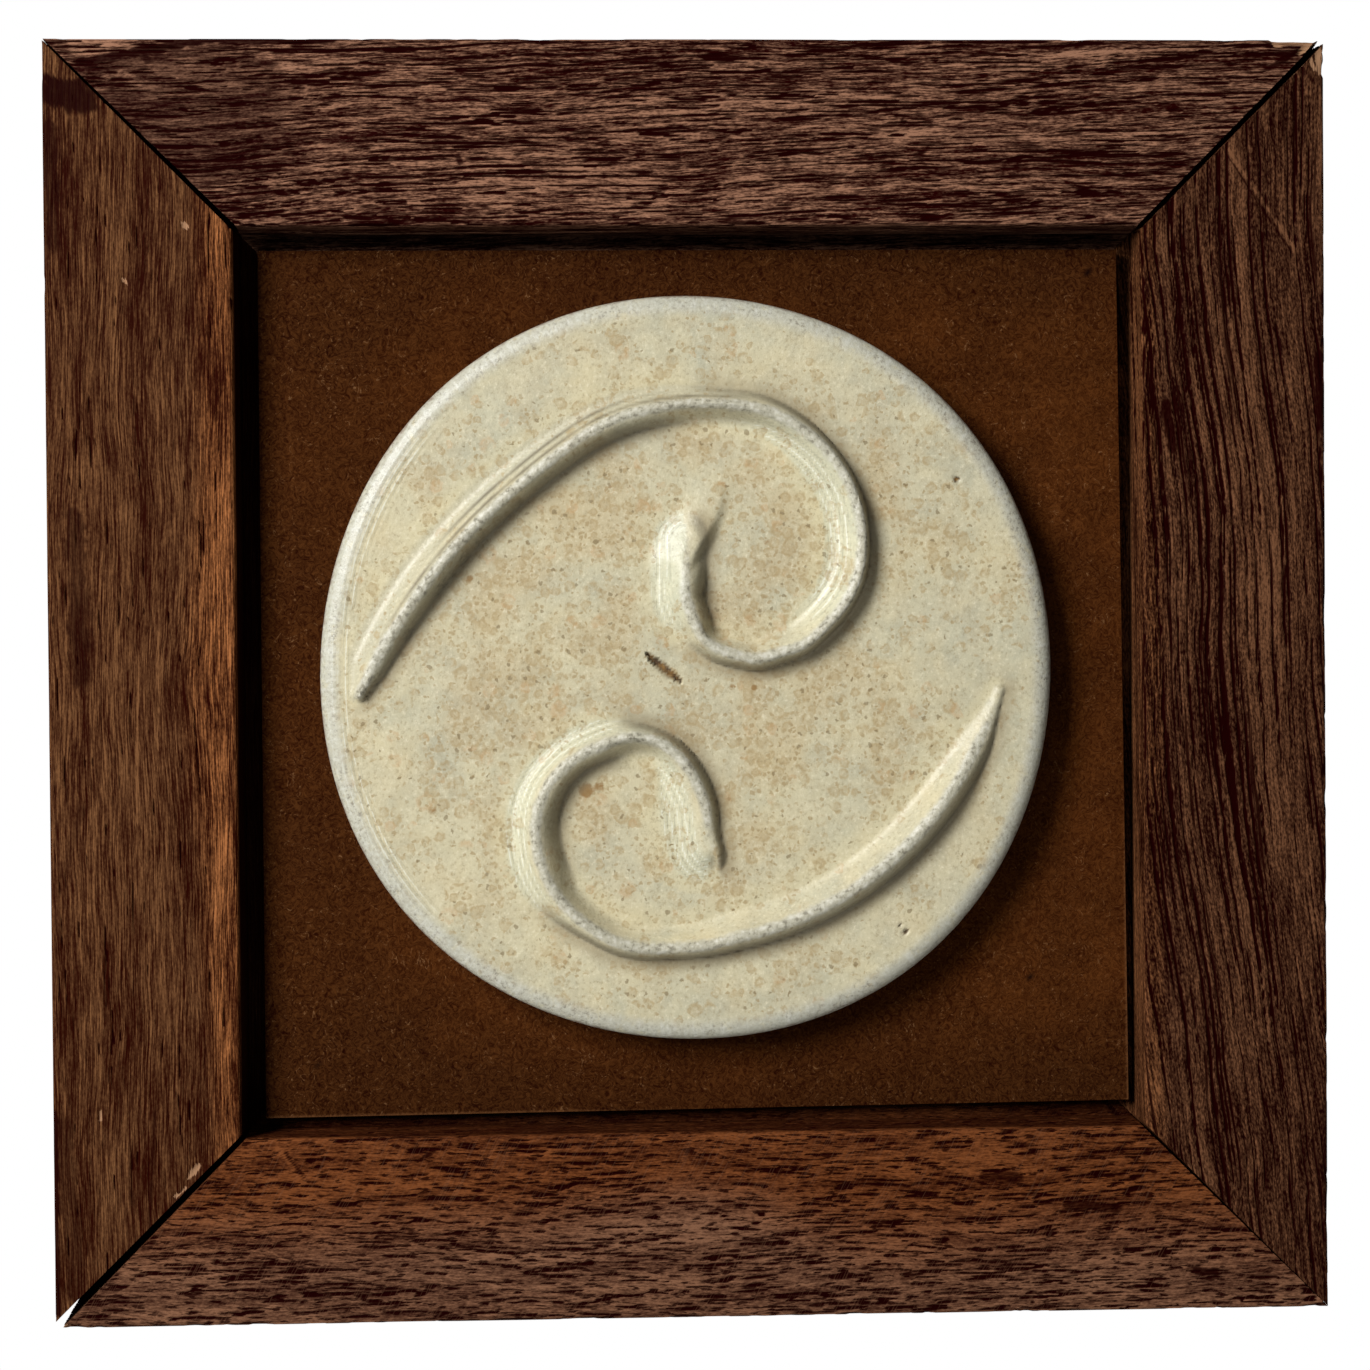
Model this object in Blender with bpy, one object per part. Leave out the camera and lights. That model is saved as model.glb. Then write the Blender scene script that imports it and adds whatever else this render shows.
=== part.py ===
"""Small wall plaque: a glazed ceramic roundel with the crab sign's two scrolls, on a board in a wooden tray frame.

Metres, +Z up. The front faces -Y and the back lies in the plane Y = 0, against the wall. The origin is at the
mouth of the nail hole in the back of the top rail. Four rails meet in open mitres. Each has an L-shaped
section whose ledge carries the board from behind, and the roundel is stuck to the middle of the board.
"""

import math

import bmesh
import bpy
from mathutils import Vector
from mathutils.geometry import delaunay_2d_cdt

# The gap kept between any two pieces that touch on the real thing
CLEARANCE = 0.0003

# The frame
FRAME_WIDTH = 0.178
FRAME_HEIGHT = 0.178
FRAME_DEPTH = 0.016
RAIL_WIDTH = 0.0259
TRAY_DEPTH = 0.009
LEDGE_WIDTH = 0.008
ARRIS = 0.0005
ARRIS_CUTS = 2

# How far each mitre stands open: at the frame's outer corner, and at its inner one
MITRE_GAPS = {
    "top_left": (0.0007, 0.0007),
    "top_right": (0.0010, 0.0006),
    "bottom_right": (0.0004, 0.0010),
    "bottom_left": (0.0012, 0.0008),
}

# The blind hole that hangs on a nail
HOLE_DIAMETER = 0.0038
HOLE_DEPTH = 0.0070
HOLE_SIDES = 24
DRILL_SPARE = 0.0018

# The board, cut a little small by hand: what each corner lacks of the tray's corner, in X and in Z
BOARD_THICKNESS = 0.0030
BOARD_SHORT = {
    "top_left": (0.0027, 0.0025),
    "top_right": (0.0024, 0.0025),
    "bottom_right": (0.0012, 0.0028),
    "bottom_left": (0.0027, 0.0019),
}

# The roundel, and where its middle is from the middle of the frame
ROUNDEL_DIAMETER = 0.1032
ROUNDEL_THICKNESS = 0.0068
ROUNDEL_SHIFT_X = -0.0007
ROUNDEL_SHIFT_Z = 0.0016
RIM_ROUND_WIDTH = 0.0026
RIM_ROUND_DEPTH = 0.0019
FOOT_CHAMFER = 0.0006

# The outline is a circle pressed out of true by hand: waves round it, each as
# (how many, height as a share of the radius, where its first crest is, in degrees)
OUTLINE_WAVES = ((2, 0.0084, -88.0), (3, 0.0031, -42.0), (4, 0.0061, 40.0))

# The relief. A scroll's crest is a chain of arcs that starts at its thin tip, in shares of the roundel's
# radius: each arc is (radius, degrees), clockwise where the degrees are positive. Pressed by hand, it strays
# from the arcs and its flanks vary. Each run is (share of the length, how far the crest lies outside the
# arcs, outer flank, inner flank), and the ends are given as shares of the full height.
RELIEF_HEIGHT = 0.0031
UPPER_SCROLL = {
    "turned": 0.0,
    "tip": (-0.888, -0.056),
    "heading": 66.0,
    "arcs": ((1.50, 35.0), (0.69, 37.0), (0.386, 109.0), (0.246, 153.0), (0.60, 8.0)),
    "runs": (
        (0.00, -0.0006, 0.0036, 0.0019),
        (0.10, -0.0008, 0.0042, 0.0022),
        (0.24, -0.0007, 0.0042, 0.0022),
        (0.36, -0.0001, 0.0034, 0.0025),
        (0.48, -0.0006, 0.0023, 0.0027),
        (0.60, -0.0007, 0.0014, 0.0042),
        (0.70, -0.0009, 0.0014, 0.0046),
        (0.77, -0.0017, 0.0015, 0.0040),
        (0.82, -0.0010, 0.0016, 0.0036),
        (0.86, 0.0002, 0.0018, 0.0030),
        (0.90, 0.0009, 0.0020, 0.0024),
        (0.94, 0.0000, 0.0046, 0.0026),
        (0.97, -0.0009, 0.0050, 0.0029),
        (1.00, -0.0009, 0.0046, 0.0029),
    ),
    "tip_height": 0.55,
    "end_height": 0.90,
}
LOWER_SCROLL = {
    "turned": 180.0,
    "tip": (-0.864, 0.072),
    "heading": 72.5,
    "arcs": ((1.02, 36.0), (0.88, 40.0), (0.345, 81.0), (0.222, 178.0), (0.60, -8.0)),
    "runs": (
        (0.00, -0.0013, 0.0016, 0.0032),
        (0.10, -0.0016, 0.0024, 0.0040),
        (0.20, -0.0016, 0.0025, 0.0042),
        (0.40, -0.0015, 0.0022, 0.0040),
        (0.47, -0.0008, 0.0019, 0.0034),
        (0.56, 0.0000, 0.0020, 0.0032),
        (0.67, 0.0006, 0.0038, 0.0034),
        (0.80, 0.0002, 0.0034, 0.0024),
        (0.87, 0.0014, 0.0017, 0.0026),
        (0.95, 0.0004, 0.0016, 0.0040),
        (1.00, 0.0002, 0.0015, 0.0036),
    ),
    "tip_height": 0.30,
    "end_height": 0.50,
}
CREST_SHIFT, OUTER_FLANK, INNER_FLANK = 1, 2, 3
# How much of a scroll's length its ends take to reach full height
TIP_RISE = 0.16
END_FALL = 0.10
# Over 1, the sides of a ridge are hollow at the foot and its crest is narrow
RIDGE_SHARPNESS = 1.45
# The narrower flank of a ridge is steep, with a round shoulder: how much narrower, from none to fully steep
STEEP_FROM = -0.0004
STEEP_TO = 0.0009
STEEP_SHOULDER = 2.4
STEEP_FOOT = 1.1

# How finely the roundel's faces are cut
OUTLINE_POINTS = 108
RIM_RINGS = (1.0, 0.55, 0.25)
CREST_STEP = 0.0017
# Where lines of points run along a ridge, as shares of its flank: the one past 1 is its foot
RIDGE_LINES = (0.0, 1.1, 0.5, 0.25, 0.8)
END_POINTS = 6
FIELD_STEP = 0.0048
FIELD_CLOSEST = 0.0022
CLOSEST_POINTS = 0.0006
POINTS_SAME = 1e-7
SHARP_ANGLE = 50

# Where the main planes and middles lie
FRONT_Y = -FRAME_DEPTH
LEDGE_Y = FRONT_Y + TRAY_DEPTH
BOARD_BACK_Y = LEDGE_Y - CLEARANCE
BOARD_FRONT_Y = BOARD_BACK_Y - BOARD_THICKNESS
ROUNDEL_BACK_Y = BOARD_FRONT_Y - CLEARANCE
FRAME_MIDDLE_Z = RAIL_WIDTH / 2 - FRAME_HEIGHT / 2
SIDES = {
    "top_left": (-1, 1),
    "top_right": (1, 1),
    "bottom_right": (1, -1),
    "bottom_left": (-1, -1),
}


def screen_colour(red, green, blue):
    """A colour given in 0 to 255 screen values, as the shader's linear ones."""
    values = []
    for part in (red, green, blue):
        share = part / 255
        values.append(share / 12.92 if share <= 0.04045 else ((share + 0.055) / 1.055) ** 2.4)
    return (*values, 1.0)


def material(name, colour, roughness, coat=0.0):
    made = bpy.data.materials.new(name)
    made.use_nodes = True
    shader = made.node_tree.nodes["Principled BSDF"]
    shader.inputs["Base Color"].default_value = colour
    shader.inputs["Roughness"].default_value = roughness
    shader.inputs["Metallic"].default_value = 0.0
    shader.inputs["Coat Weight"].default_value = coat
    made.diffuse_color = colour
    return made


def new_object(name, bm, finish):
    """The bmesh as a named object with outward faces."""
    bmesh.ops.recalc_face_normals(bm, faces=bm.faces)
    mesh = bpy.data.meshes.new(name)
    bm.to_mesh(mesh)
    bm.free()
    made = bpy.data.objects.new(name, mesh)
    bpy.context.collection.objects.link(made)
    if finish:
        mesh.materials.append(finish)
    return made


def frame_corner(name, inset=0.0):
    """A corner of the frame's outline, or of the outline that far inside it, as (x, z)."""
    side_x, side_z = SIDES[name]
    x = side_x * (FRAME_WIDTH / 2 - inset)
    z = FRAME_MIDDLE_Z + side_z * (FRAME_HEIGHT / 2 - inset)
    return Vector((x, z))


def mitre_cut(corner, inset):
    """How far along its rail a mitred end is from the frame's corner, at an inset from the outer edge."""
    outer, inner = MITRE_GAPS[corner]
    gap = outer + (inner - outer) * inset / RAIL_WIDTH
    return inset + gap / math.sqrt(2)


def rail(name, first, last, finish):
    """One rail from corner to corner, clockwise: its L-shaped section runs between two mitred ends."""
    start = frame_corner(first)
    end = frame_corner(last)
    along = (end - start).normalized()
    inward = Vector((along.y, -along.x))
    ledge = RAIL_WIDTH + LEDGE_WIDTH
    section = [(0, FRONT_Y), (RAIL_WIDTH, FRONT_Y), (RAIL_WIDTH, LEDGE_Y), (ledge, LEDGE_Y), (ledge, 0), (0, 0)]
    inner_corner = 2

    bm = bmesh.new()
    weights = bm.edges.layers.float.new("bevel_weight_edge")
    ends = []
    for corner, origin, way in ((first, start, 1), (last, end, -1)):
        ring = []
        for inset, y in section:
            place = origin + along * way * mitre_cut(corner, inset) + inward * inset
            ring.append(bm.verts.new((place.x, y, place.y)))
        bm.faces.new(ring)
        ends.append(ring)
    for index in range(len(section)):
        following = (index + 1) % len(section)
        bm.faces.new((ends[0][index], ends[0][following], ends[1][following], ends[1][index]))
    for index, (near, far) in enumerate(zip(*ends)):
        if index != inner_corner:
            bm.edges.get((near, far))[weights] = 1.0
    made = new_object(name, bm, finish)
    bevel = made.modifiers.new("arris", "BEVEL")
    bevel.limit_method = "WEIGHT"
    bevel.width = ARRIS
    bevel.segments = ARRIS_CUTS
    return made


def nail_hole(top_rail):
    """The blind hole in the back of the top rail, with its mouth at the origin."""
    bm = bmesh.new()
    bmesh.ops.create_cone(
        bm,
        cap_ends=True,
        segments=HOLE_SIDES,
        radius1=HOLE_DIAMETER / 2,
        radius2=HOLE_DIAMETER / 2,
        depth=HOLE_DEPTH + DRILL_SPARE,
    )
    cutter = new_object("nail_hole_cutter", bm, None)
    cutter.rotation_euler.x = math.pi / 2
    cutter.location.y = (DRILL_SPARE - HOLE_DEPTH) / 2
    cutter.hide_render = True
    cutter.display_type = "WIRE"
    cut = top_rail.modifiers.new("nail_hole", "BOOLEAN")
    cut.operation = "DIFFERENCE"
    cut.object = cutter


def mount_board(finish):
    """The board: a sheet with four straight sides, a little out of square."""
    bm = bmesh.new()
    rings = []
    for y in (BOARD_FRONT_Y, BOARD_BACK_Y):
        ring = []
        for corner, (short_x, short_z) in BOARD_SHORT.items():
            side_x, side_z = SIDES[corner]
            place = frame_corner(corner, RAIL_WIDTH) - Vector((side_x * short_x, side_z * short_z))
            ring.append(bm.verts.new((place.x, y, place.y)))
        bm.faces.new(ring)
        rings.append(ring)
    for index in range(len(rings[0])):
        following = (index + 1) % len(rings[0])
        bm.faces.new((rings[0][index], rings[0][following], rings[1][following], rings[1][index]))
    return new_object("mount_board", bm, finish)


def outline_radius(angle):
    """The roundel's radius in the direction of an angle."""
    waves = sum(high * math.cos(count * (angle - math.radians(crest))) for count, high, crest in OUTLINE_WAVES)
    return ROUNDEL_DIAMETER / 2 * (1 + waves)


def smooth(share):
    """0 to 1 with a soft start and end."""
    share = min(max(share, 0.0), 1.0)
    return share * share * (3 - 2 * share)


def run_value(scroll, share, column):
    """A scroll's crest shift or flank at a share of its length, in between its runs."""
    runs = scroll["runs"]
    for near, far in zip(runs, runs[1:]):
        if share <= far[0]:
            part = smooth((share - near[0]) / (far[0] - near[0]))
            return near[column] + (far[column] - near[column]) * part
    return runs[-1][column]


def crest_of(scroll):
    """Points along a scroll's crest from its tip, each as (place, direction, share of the length)."""
    scale = ROUNDEL_DIAMETER / 2
    place = Vector(scroll["tip"]) * scale
    heading = math.radians(scroll["heading"])
    length = sum(radius * scale * math.radians(abs(sweep)) for radius, sweep in scroll["arcs"])
    turn = math.radians(scroll["turned"])
    walked = 0.0
    points = []
    for radius, sweep in scroll["arcs"]:
        arc = radius * scale * math.radians(abs(sweep))
        steps = max(2, round(arc / CREST_STEP))
        for _ in range(steps):
            points.append((place.copy(), heading, walked / length))
            bend = -math.radians(sweep) / steps
            place += Vector((math.cos(heading + bend / 2), math.sin(heading + bend / 2))) * (arc / steps)
            heading += bend
            walked += arc / steps
    points.append((place.copy(), heading, 1.0))
    cosine, sine = math.cos(turn), math.sin(turn)
    crest = []
    for at, way, share in points:
        at = at + Vector((-math.sin(way), math.cos(way))) * run_value(scroll, share, CREST_SHIFT)
        turned = Vector((at.x * cosine - at.y * sine, at.x * sine + at.y * cosine))
        crest.append((turned, Vector((math.cos(way + turn), math.sin(way + turn))), share))
    return crest


def flank_width(scroll, share, side):
    """How wide a ridge's flank is at a share of the scroll's length. The side runs from 1, outer, to -1, inner."""
    outer = run_value(scroll, share, OUTER_FLANK)
    inner = run_value(scroll, share, INNER_FLANK)
    return inner + (outer - inner) * (1 + side) / 2


def end_rise(scroll, share):
    """How much of its full height a scroll has at a share of its length."""
    tip = scroll["tip_height"] + (1 - scroll["tip_height"]) * smooth(share / TIP_RISE)
    end = scroll["end_height"] + (1 - scroll["end_height"]) * smooth((1 - share) / END_FALL)
    return tip * end


def ridge_height(scroll, crest, place):
    """The height of one scroll above the roundel's face at a place."""
    best = None
    for (first, way, share), (second, _, next_share) in zip(crest, crest[1:]):
        span = second - first
        part = min(max((place - first).dot(span) / span.length_squared, 0.0), 1.0)
        away = place - first - span * part
        if best is None or away.length < best[0]:
            side = (way.x * away.y - way.y * away.x) / max(away.length, CLOSEST_POINTS)
            best = (away.length, share + (next_share - share) * part, side)
    distance, share, side = best
    flank, other_flank = flank_width(scroll, share, side), flank_width(scroll, share, -side)
    across = distance / flank
    if across >= 1:
        return 0.0
    soft = (0.5 + 0.5 * math.cos(math.pi * across)) ** RIDGE_SHARPNESS
    steep = (1 - across**STEEP_SHOULDER) ** STEEP_FOOT
    steepness = smooth((other_flank - flank - STEEP_FROM) / (STEEP_TO - STEEP_FROM))
    return RELIEF_HEIGHT * end_rise(scroll, share) * (soft + (steep - soft) * steepness)


def face_drop(place):
    """How far the roundel's face has rounded off towards its rim at a place."""
    inset = outline_radius(math.atan2(place.y, place.x)) - place.length
    share = 1 - min(max(inset / RIM_ROUND_WIDTH, 0.0), 1.0)
    return RIM_ROUND_DEPTH * (1 - math.sqrt(1 - share * share))


def outline_ring(inset):
    """Points round the roundel, that far inside its outline."""
    ring = []
    for index in range(OUTLINE_POINTS):
        angle = 2 * math.pi * index / OUTLINE_POINTS
        reach = outline_radius(angle) - inset
        ring.append(Vector((reach * math.cos(angle), reach * math.sin(angle))))
    return ring


def face_points(scrolls):
    """The plan of the roundel's face: the outline, rings in its rounded rim, lines along the ridges, then a field."""
    points = outline_ring(0.0)
    for share in RIM_RINGS:
        points += outline_ring(RIM_ROUND_WIDTH * share)
    kept = len(points)

    def add(place, spacing):
        inset = outline_radius(math.atan2(place.y, place.x)) - place.length
        if inset < RIM_ROUND_WIDTH + CLOSEST_POINTS:
            return
        if all((place - other).length > spacing for other in points[kept:]):
            points.append(place)

    def add_on_ridge(scroll, crest, place, line):
        foot_inside_a_bend = line > 1 and ridge_height(scroll, crest, place) > 0
        if not foot_inside_a_bend:
            add(place, CLOSEST_POINTS)

    for scroll, crest in scrolls:
        for line in RIDGE_LINES:
            for side in (1, -1):
                for place, way, share in crest:
                    across = Vector((-way.y, way.x)) * side
                    add_on_ridge(scroll, crest, place + across * flank_width(scroll, share, side) * line, line)
            for (place, way, share), outward in ((crest[0], -1), (crest[-1], 1)):
                for step in range(1, END_POINTS):
                    angle = math.pi * step / END_POINTS
                    side = math.cos(angle)
                    across = Vector((-way.y, way.x)) * side + way * outward * math.sin(angle)
                    add_on_ridge(scroll, crest, place + across * flank_width(scroll, share, side) * line, line)
    rows = math.ceil(ROUNDEL_DIAMETER / FIELD_STEP)
    for row in range(-rows, rows + 1):
        for column in range(-rows, rows + 1):
            x = (column + 0.5 * (row % 2)) * FIELD_STEP
            z = row * FIELD_STEP * math.sqrt(3) / 2
            if math.hypot(x, z) < ROUNDEL_DIAMETER:
                add(Vector((x, z)), FIELD_CLOSEST)
    return points


def ceramic_roundel(finish):
    """The pressed disc with its two scrolls: a face in relief, a rounded rim and a flat back."""
    scrolls = [(scroll, crest_of(scroll)) for scroll in (UPPER_SCROLL, LOWER_SCROLL)]
    middle = Vector((ROUNDEL_SHIFT_X, FRAME_MIDDLE_Z + ROUNDEL_SHIFT_Z))
    face_y = ROUNDEL_BACK_Y - ROUNDEL_THICKNESS
    plan = face_points(scrolls)
    outline = list(range(OUTLINE_POINTS))
    inside_only = 1
    flat, _, triangles, *_ = delaunay_2d_cdt(plan, [], [outline], inside_only, POINTS_SAME)

    bm = bmesh.new()
    face = []
    for place in flat:
        relief = max(ridge_height(scroll, crest, place) for scroll, crest in scrolls)
        y = face_y + face_drop(place) - relief
        face.append(bm.verts.new((middle.x + place.x, y, middle.y + place.y)))
    for triangle in triangles:
        bm.faces.new([face[index] for index in triangle])
    rings = [[face[index] for index in outline]]
    for inset, y in ((0.0, ROUNDEL_BACK_Y - FOOT_CHAMFER), (FOOT_CHAMFER, ROUNDEL_BACK_Y)):
        rings.append([bm.verts.new((middle.x + at.x, y, middle.y + at.y)) for at in outline_ring(inset)])
    for near, far in zip(rings, rings[1:]):
        for index in outline:
            following = (index + 1) % OUTLINE_POINTS
            bm.faces.new((near[index], near[following], far[following], far[index]))
    bm.faces.new(rings[-1])
    made = new_object("ceramic_roundel", bm, finish)
    made.data.shade_smooth()
    made.data.set_sharp_from_angle(angle=math.radians(SHARP_ANGLE))
    return made


def build():
    for old in list(bpy.data.objects):
        bpy.data.objects.remove(old, do_unlink=True)
    stain = 0.55
    top = rail("rail_top", "top_left", "top_right", material("top_wood", screen_colour(76, 45, 33), stain))
    rail("rail_right", "top_right", "bottom_right", material("right_wood", screen_colour(58, 32, 21), stain))
    rail("rail_bottom", "bottom_right", "bottom_left", material("bottom_wood", screen_colour(76, 42, 26), stain))
    rail("rail_left", "bottom_left", "top_left", material("left_wood", screen_colour(82, 50, 29), stain))
    nail_hole(top)
    mount_board(material("hardboard", screen_colour(72, 38, 14), 0.8))
    ceramic_roundel(material("glaze", screen_colour(192, 180, 148), 0.28, coat=0.4))


build()
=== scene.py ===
"""Looks of the small wall plaque: a glazed ceramic roundel with the crab sign's two scrolls in relief,
stuck on a brown fibre board that lies in a mitred tray frame of stained wood.

Metres, +Z up, the front towards -Y and the wall in the plane Y = 0.
"""

import math

import bmesh
import bpy
import numpy as np
from mathutils import Matrix, Vector


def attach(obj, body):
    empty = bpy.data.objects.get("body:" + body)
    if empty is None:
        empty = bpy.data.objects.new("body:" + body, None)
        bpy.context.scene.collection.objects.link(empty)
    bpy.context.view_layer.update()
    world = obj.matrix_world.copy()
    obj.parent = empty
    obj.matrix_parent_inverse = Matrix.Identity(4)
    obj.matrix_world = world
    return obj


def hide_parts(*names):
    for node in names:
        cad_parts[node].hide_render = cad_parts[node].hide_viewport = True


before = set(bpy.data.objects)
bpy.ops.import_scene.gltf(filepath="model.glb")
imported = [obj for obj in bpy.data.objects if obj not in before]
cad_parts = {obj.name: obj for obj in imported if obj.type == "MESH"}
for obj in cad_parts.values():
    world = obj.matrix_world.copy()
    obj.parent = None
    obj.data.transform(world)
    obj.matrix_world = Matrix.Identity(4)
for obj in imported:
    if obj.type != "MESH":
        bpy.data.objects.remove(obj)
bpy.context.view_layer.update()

# The four rails of the tray frame: open-pored hardwood, each from another length of stock, planed to an
# L-shaped section with a ledge at the back. They are mitred by hand, so the joints stand open, and stained
# dark. The nail hole is bored in the back of the top one.
MM = 0.001
frame_width = 178 * MM
frame_depth = 16 * MM
rail_width = 25.9 * MM
ledge_width = 8 * MM
arris = 0.5 * MM
front_y = -frame_depth
ledge_y = front_y + 9 * MM
frame_middle = Vector((0, 0, rail_width / 2 - frame_width / 2))
hole_diameter = 3.8 * MM
hole_depth = 7 * MM
pore_depth = 0.15 * MM
band_depth = 0.06 * MM
chip_depth = 0.3 * MM
grain_wave = 1.3 * MM
grain_ripple = 0.35 * MM
# How far the mitres stand open in front, at the outer and at the inner corner, and how deep they stay open
closed_gap = 0.02 * MM
mitre_gaps = {
    "top_left": (0.25 * MM, 0.75 * MM, 7 * MM),
    "top_right": (0.85 * MM, 0.7 * MM, 5 * MM),
    "bottom_right": (0.12 * MM, 0.45 * MM, 5 * MM),
    "bottom_left": (1.2 * MM, 0.8 * MM, 16 * MM),
}


def screen_colour(red, green, blue):
    """A colour given in 0 to 255 screen values, as the shader's linear ones."""
    values = []
    for part in (red, green, blue):
        share = part / 255
        values.append(share / 12.92 if share <= 0.04045 else ((share + 0.055) / 1.055) ** 2.4)
    return (*values, 1.0)


def pick(kind, test):
    """In edit mode, selects only the faces whose middle and normal pass the test, or the edges whose
    middle and run pass it."""
    bpy.ops.mesh.select_mode(type=kind)
    bpy.ops.mesh.select_all(action="DESELECT")
    shape = bmesh.from_edit_mesh(bpy.context.edit_object.data)
    if kind == "FACE":
        for face in shape.faces:
            face.select = bool(test(face.calc_center_median(), face.normal))
    else:
        for edge in shape.edges:
            near, far = edge.verts
            edge.select = bool(test((near.co + far.co) / 2, far.co - near.co))
    shape.select_flush_mode()
    bmesh.update_edit_mesh(bpy.context.edit_object.data)


def places_of(piece):
    """Where a mesh's points are, one row each."""
    places = np.zeros(len(piece.data.vertices) * 3)
    piece.data.vertices.foreach_get("co", places)
    return places.reshape(-1, 3)


def place_all(piece, places):
    piece.data.vertices.foreach_set("co", places.astype(np.float32).ravel())
    piece.data.update()


def press_in(piece, depth):
    """Moves each point straight in from the surface by its own depth."""
    normals = np.zeros(len(piece.data.vertices) * 3)
    piece.data.vertex_normals.foreach_get("vector", normals)
    place_all(piece, places_of(piece) - normals.reshape(-1, 3) * depth[:, None])


def paint(piece, name, values):
    """Keeps a value, or three, at each point of a mesh for its material."""
    three = values.ndim == 2
    layer = piece.data.attributes.new(name, "FLOAT_VECTOR" if three else "FLOAT", "POINT")
    layer.data.foreach_set("vector" if three else "value", values.astype(np.float32).ravel())


def cloudy(x, y, size, seed):
    """Smooth random values from 0 to 1 over a plane, a new one at each step of a size or (x, y) sizes."""
    size_x, size_y = size if isinstance(size, tuple) else (size, size)
    x, y = x / size_x, y / size_y
    cells = 512
    table = np.random.RandomState(seed).random_sample((cells, cells))
    left, low = np.floor(x), np.floor(y)
    across, up = x - left, y - low
    across = across * across * (3 - 2 * across)
    up = up * up * (3 - 2 * up)
    column, row = left.astype(int) % cells, low.astype(int) % cells
    next_column, next_row = (column + 1) % cells, (row + 1) % cells
    bottom = table[column, row] * (1 - across) + table[next_column, row] * across
    top = table[column, next_row] * (1 - across) + table[next_column, next_row] * across
    return bottom * (1 - up) + top * up


def eased(values, low, high):
    """0 below low, 1 above high and a soft step between them."""
    share = np.clip((values - low) / (high - low), 0, 1)
    return share * share * (3 - 2 * share)


def nearest(line, x, z):
    """For each place its distance from a line of (x, z, share) points, the share there, and its side."""
    best = np.full(len(x), np.inf)
    share = np.zeros(len(x))
    side = np.zeros(len(x))
    for (ax, az, a_share), (bx, bz, b_share) in zip(line, line[1:]):
        run_x, run_z = bx - ax, bz - az
        squared = run_x**2 + run_z**2
        part = np.clip(((x - ax) * run_x + (z - az) * run_z) / squared, 0, 1)
        away_x, away_z = x - ax - run_x * part, z - az - run_z * part
        distance = np.hypot(away_x, away_z)
        closer = distance < best
        turned = (run_x * away_z - run_z * away_x) / (math.sqrt(squared) * np.maximum(distance, 0.8 * MM))
        best = np.where(closer, distance, best)
        share = np.where(closer, a_share + (b_share - a_share) * part, share)
        side = np.where(closer, turned, side)
    return best, share, side


def sawn_rail(name, first_gaps, last_gaps, bored):
    """A rail on the bench, along +X from the frame's corner, its outer edge at Z = 0."""
    bpy.ops.object.select_all(action="DESELECT")
    bpy.ops.mesh.primitive_cube_add(
        size=1,
        location=(frame_width / 2, -frame_depth / 2, -rail_width / 2),
        scale=(frame_width, frame_depth, rail_width),
    )
    rail = bpy.context.object
    rail.name = name
    bpy.ops.object.transform_apply(location=True, rotation=True, scale=True)
    bpy.ops.object.mode_set(mode="EDIT")
    bpy.ops.mesh.select_all(action="SELECT")
    bpy.ops.mesh.bisect(plane_co=(0, ledge_y, 0), plane_no=(0, 1, 0))
    pick("FACE", lambda at, way: way.z < -0.9 and at.y > ledge_y)
    bpy.ops.mesh.extrude_region_move(TRANSFORM_OT_translate={"value": (0, 0, -ledge_width)})
    for end, way, (outer, inner, depth) in ((0, 1, first_gaps), (frame_width, -1, last_gaps)):
        closed = Vector((end + way * closed_gap, 0, 0))
        front_outer = Vector((end + way * outer / math.sqrt(2), front_y, 0))
        front_inner = Vector((end + way * (rail_width + inner / math.sqrt(2)), front_y, -rail_width))
        shut = closed + Vector((0, front_y + depth, 0))
        if inner > outer:
            shut += Vector((way * rail_width, 0, -rail_width))
        open_face = (shut - front_outer).cross(front_inner - front_outer).normalized()
        open_face *= -way if open_face.x > 0 else way
        for place, face in ((closed, Vector((-way, 0, -1))), (front_outer, open_face)):
            bpy.ops.mesh.select_all(action="SELECT")
            bpy.ops.mesh.bisect(plane_co=place, plane_no=face, use_fill=True, clear_outer=True)
    bpy.ops.mesh.select_all(action="SELECT")
    bpy.ops.mesh.normals_make_consistent(inside=False)

    def long_and_free(at, run):
        under_board = abs(at.y - ledge_y) < arris and at.z > -rail_width - arris
        return abs(run.x) > frame_width / 2 and not under_board

    pick("EDGE", long_and_free)
    bpy.ops.mesh.bevel(offset=arris, segments=2, affect="EDGES")
    bpy.ops.object.mode_set(mode="OBJECT")
    if bored:
        bpy.ops.mesh.primitive_cylinder_add(
            vertices=32,
            radius=hole_diameter / 2,
            depth=2 * hole_depth,
            location=(frame_width / 2, 0, -rail_width / 2),
            rotation=(math.pi / 2, 0, 0),
        )
        drill = bpy.context.object
        bpy.ops.object.select_all(action="DESELECT")
        bpy.context.view_layer.objects.active = rail
        rail.select_set(True)
        bore = rail.modifiers.new("nail hole", "BOOLEAN")
        bore.operation = "DIFFERENCE"
        bore.object = drill
        bpy.ops.object.modifier_apply(modifier=bore.name)
        bpy.data.objects.remove(drill)
    return rail


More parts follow.
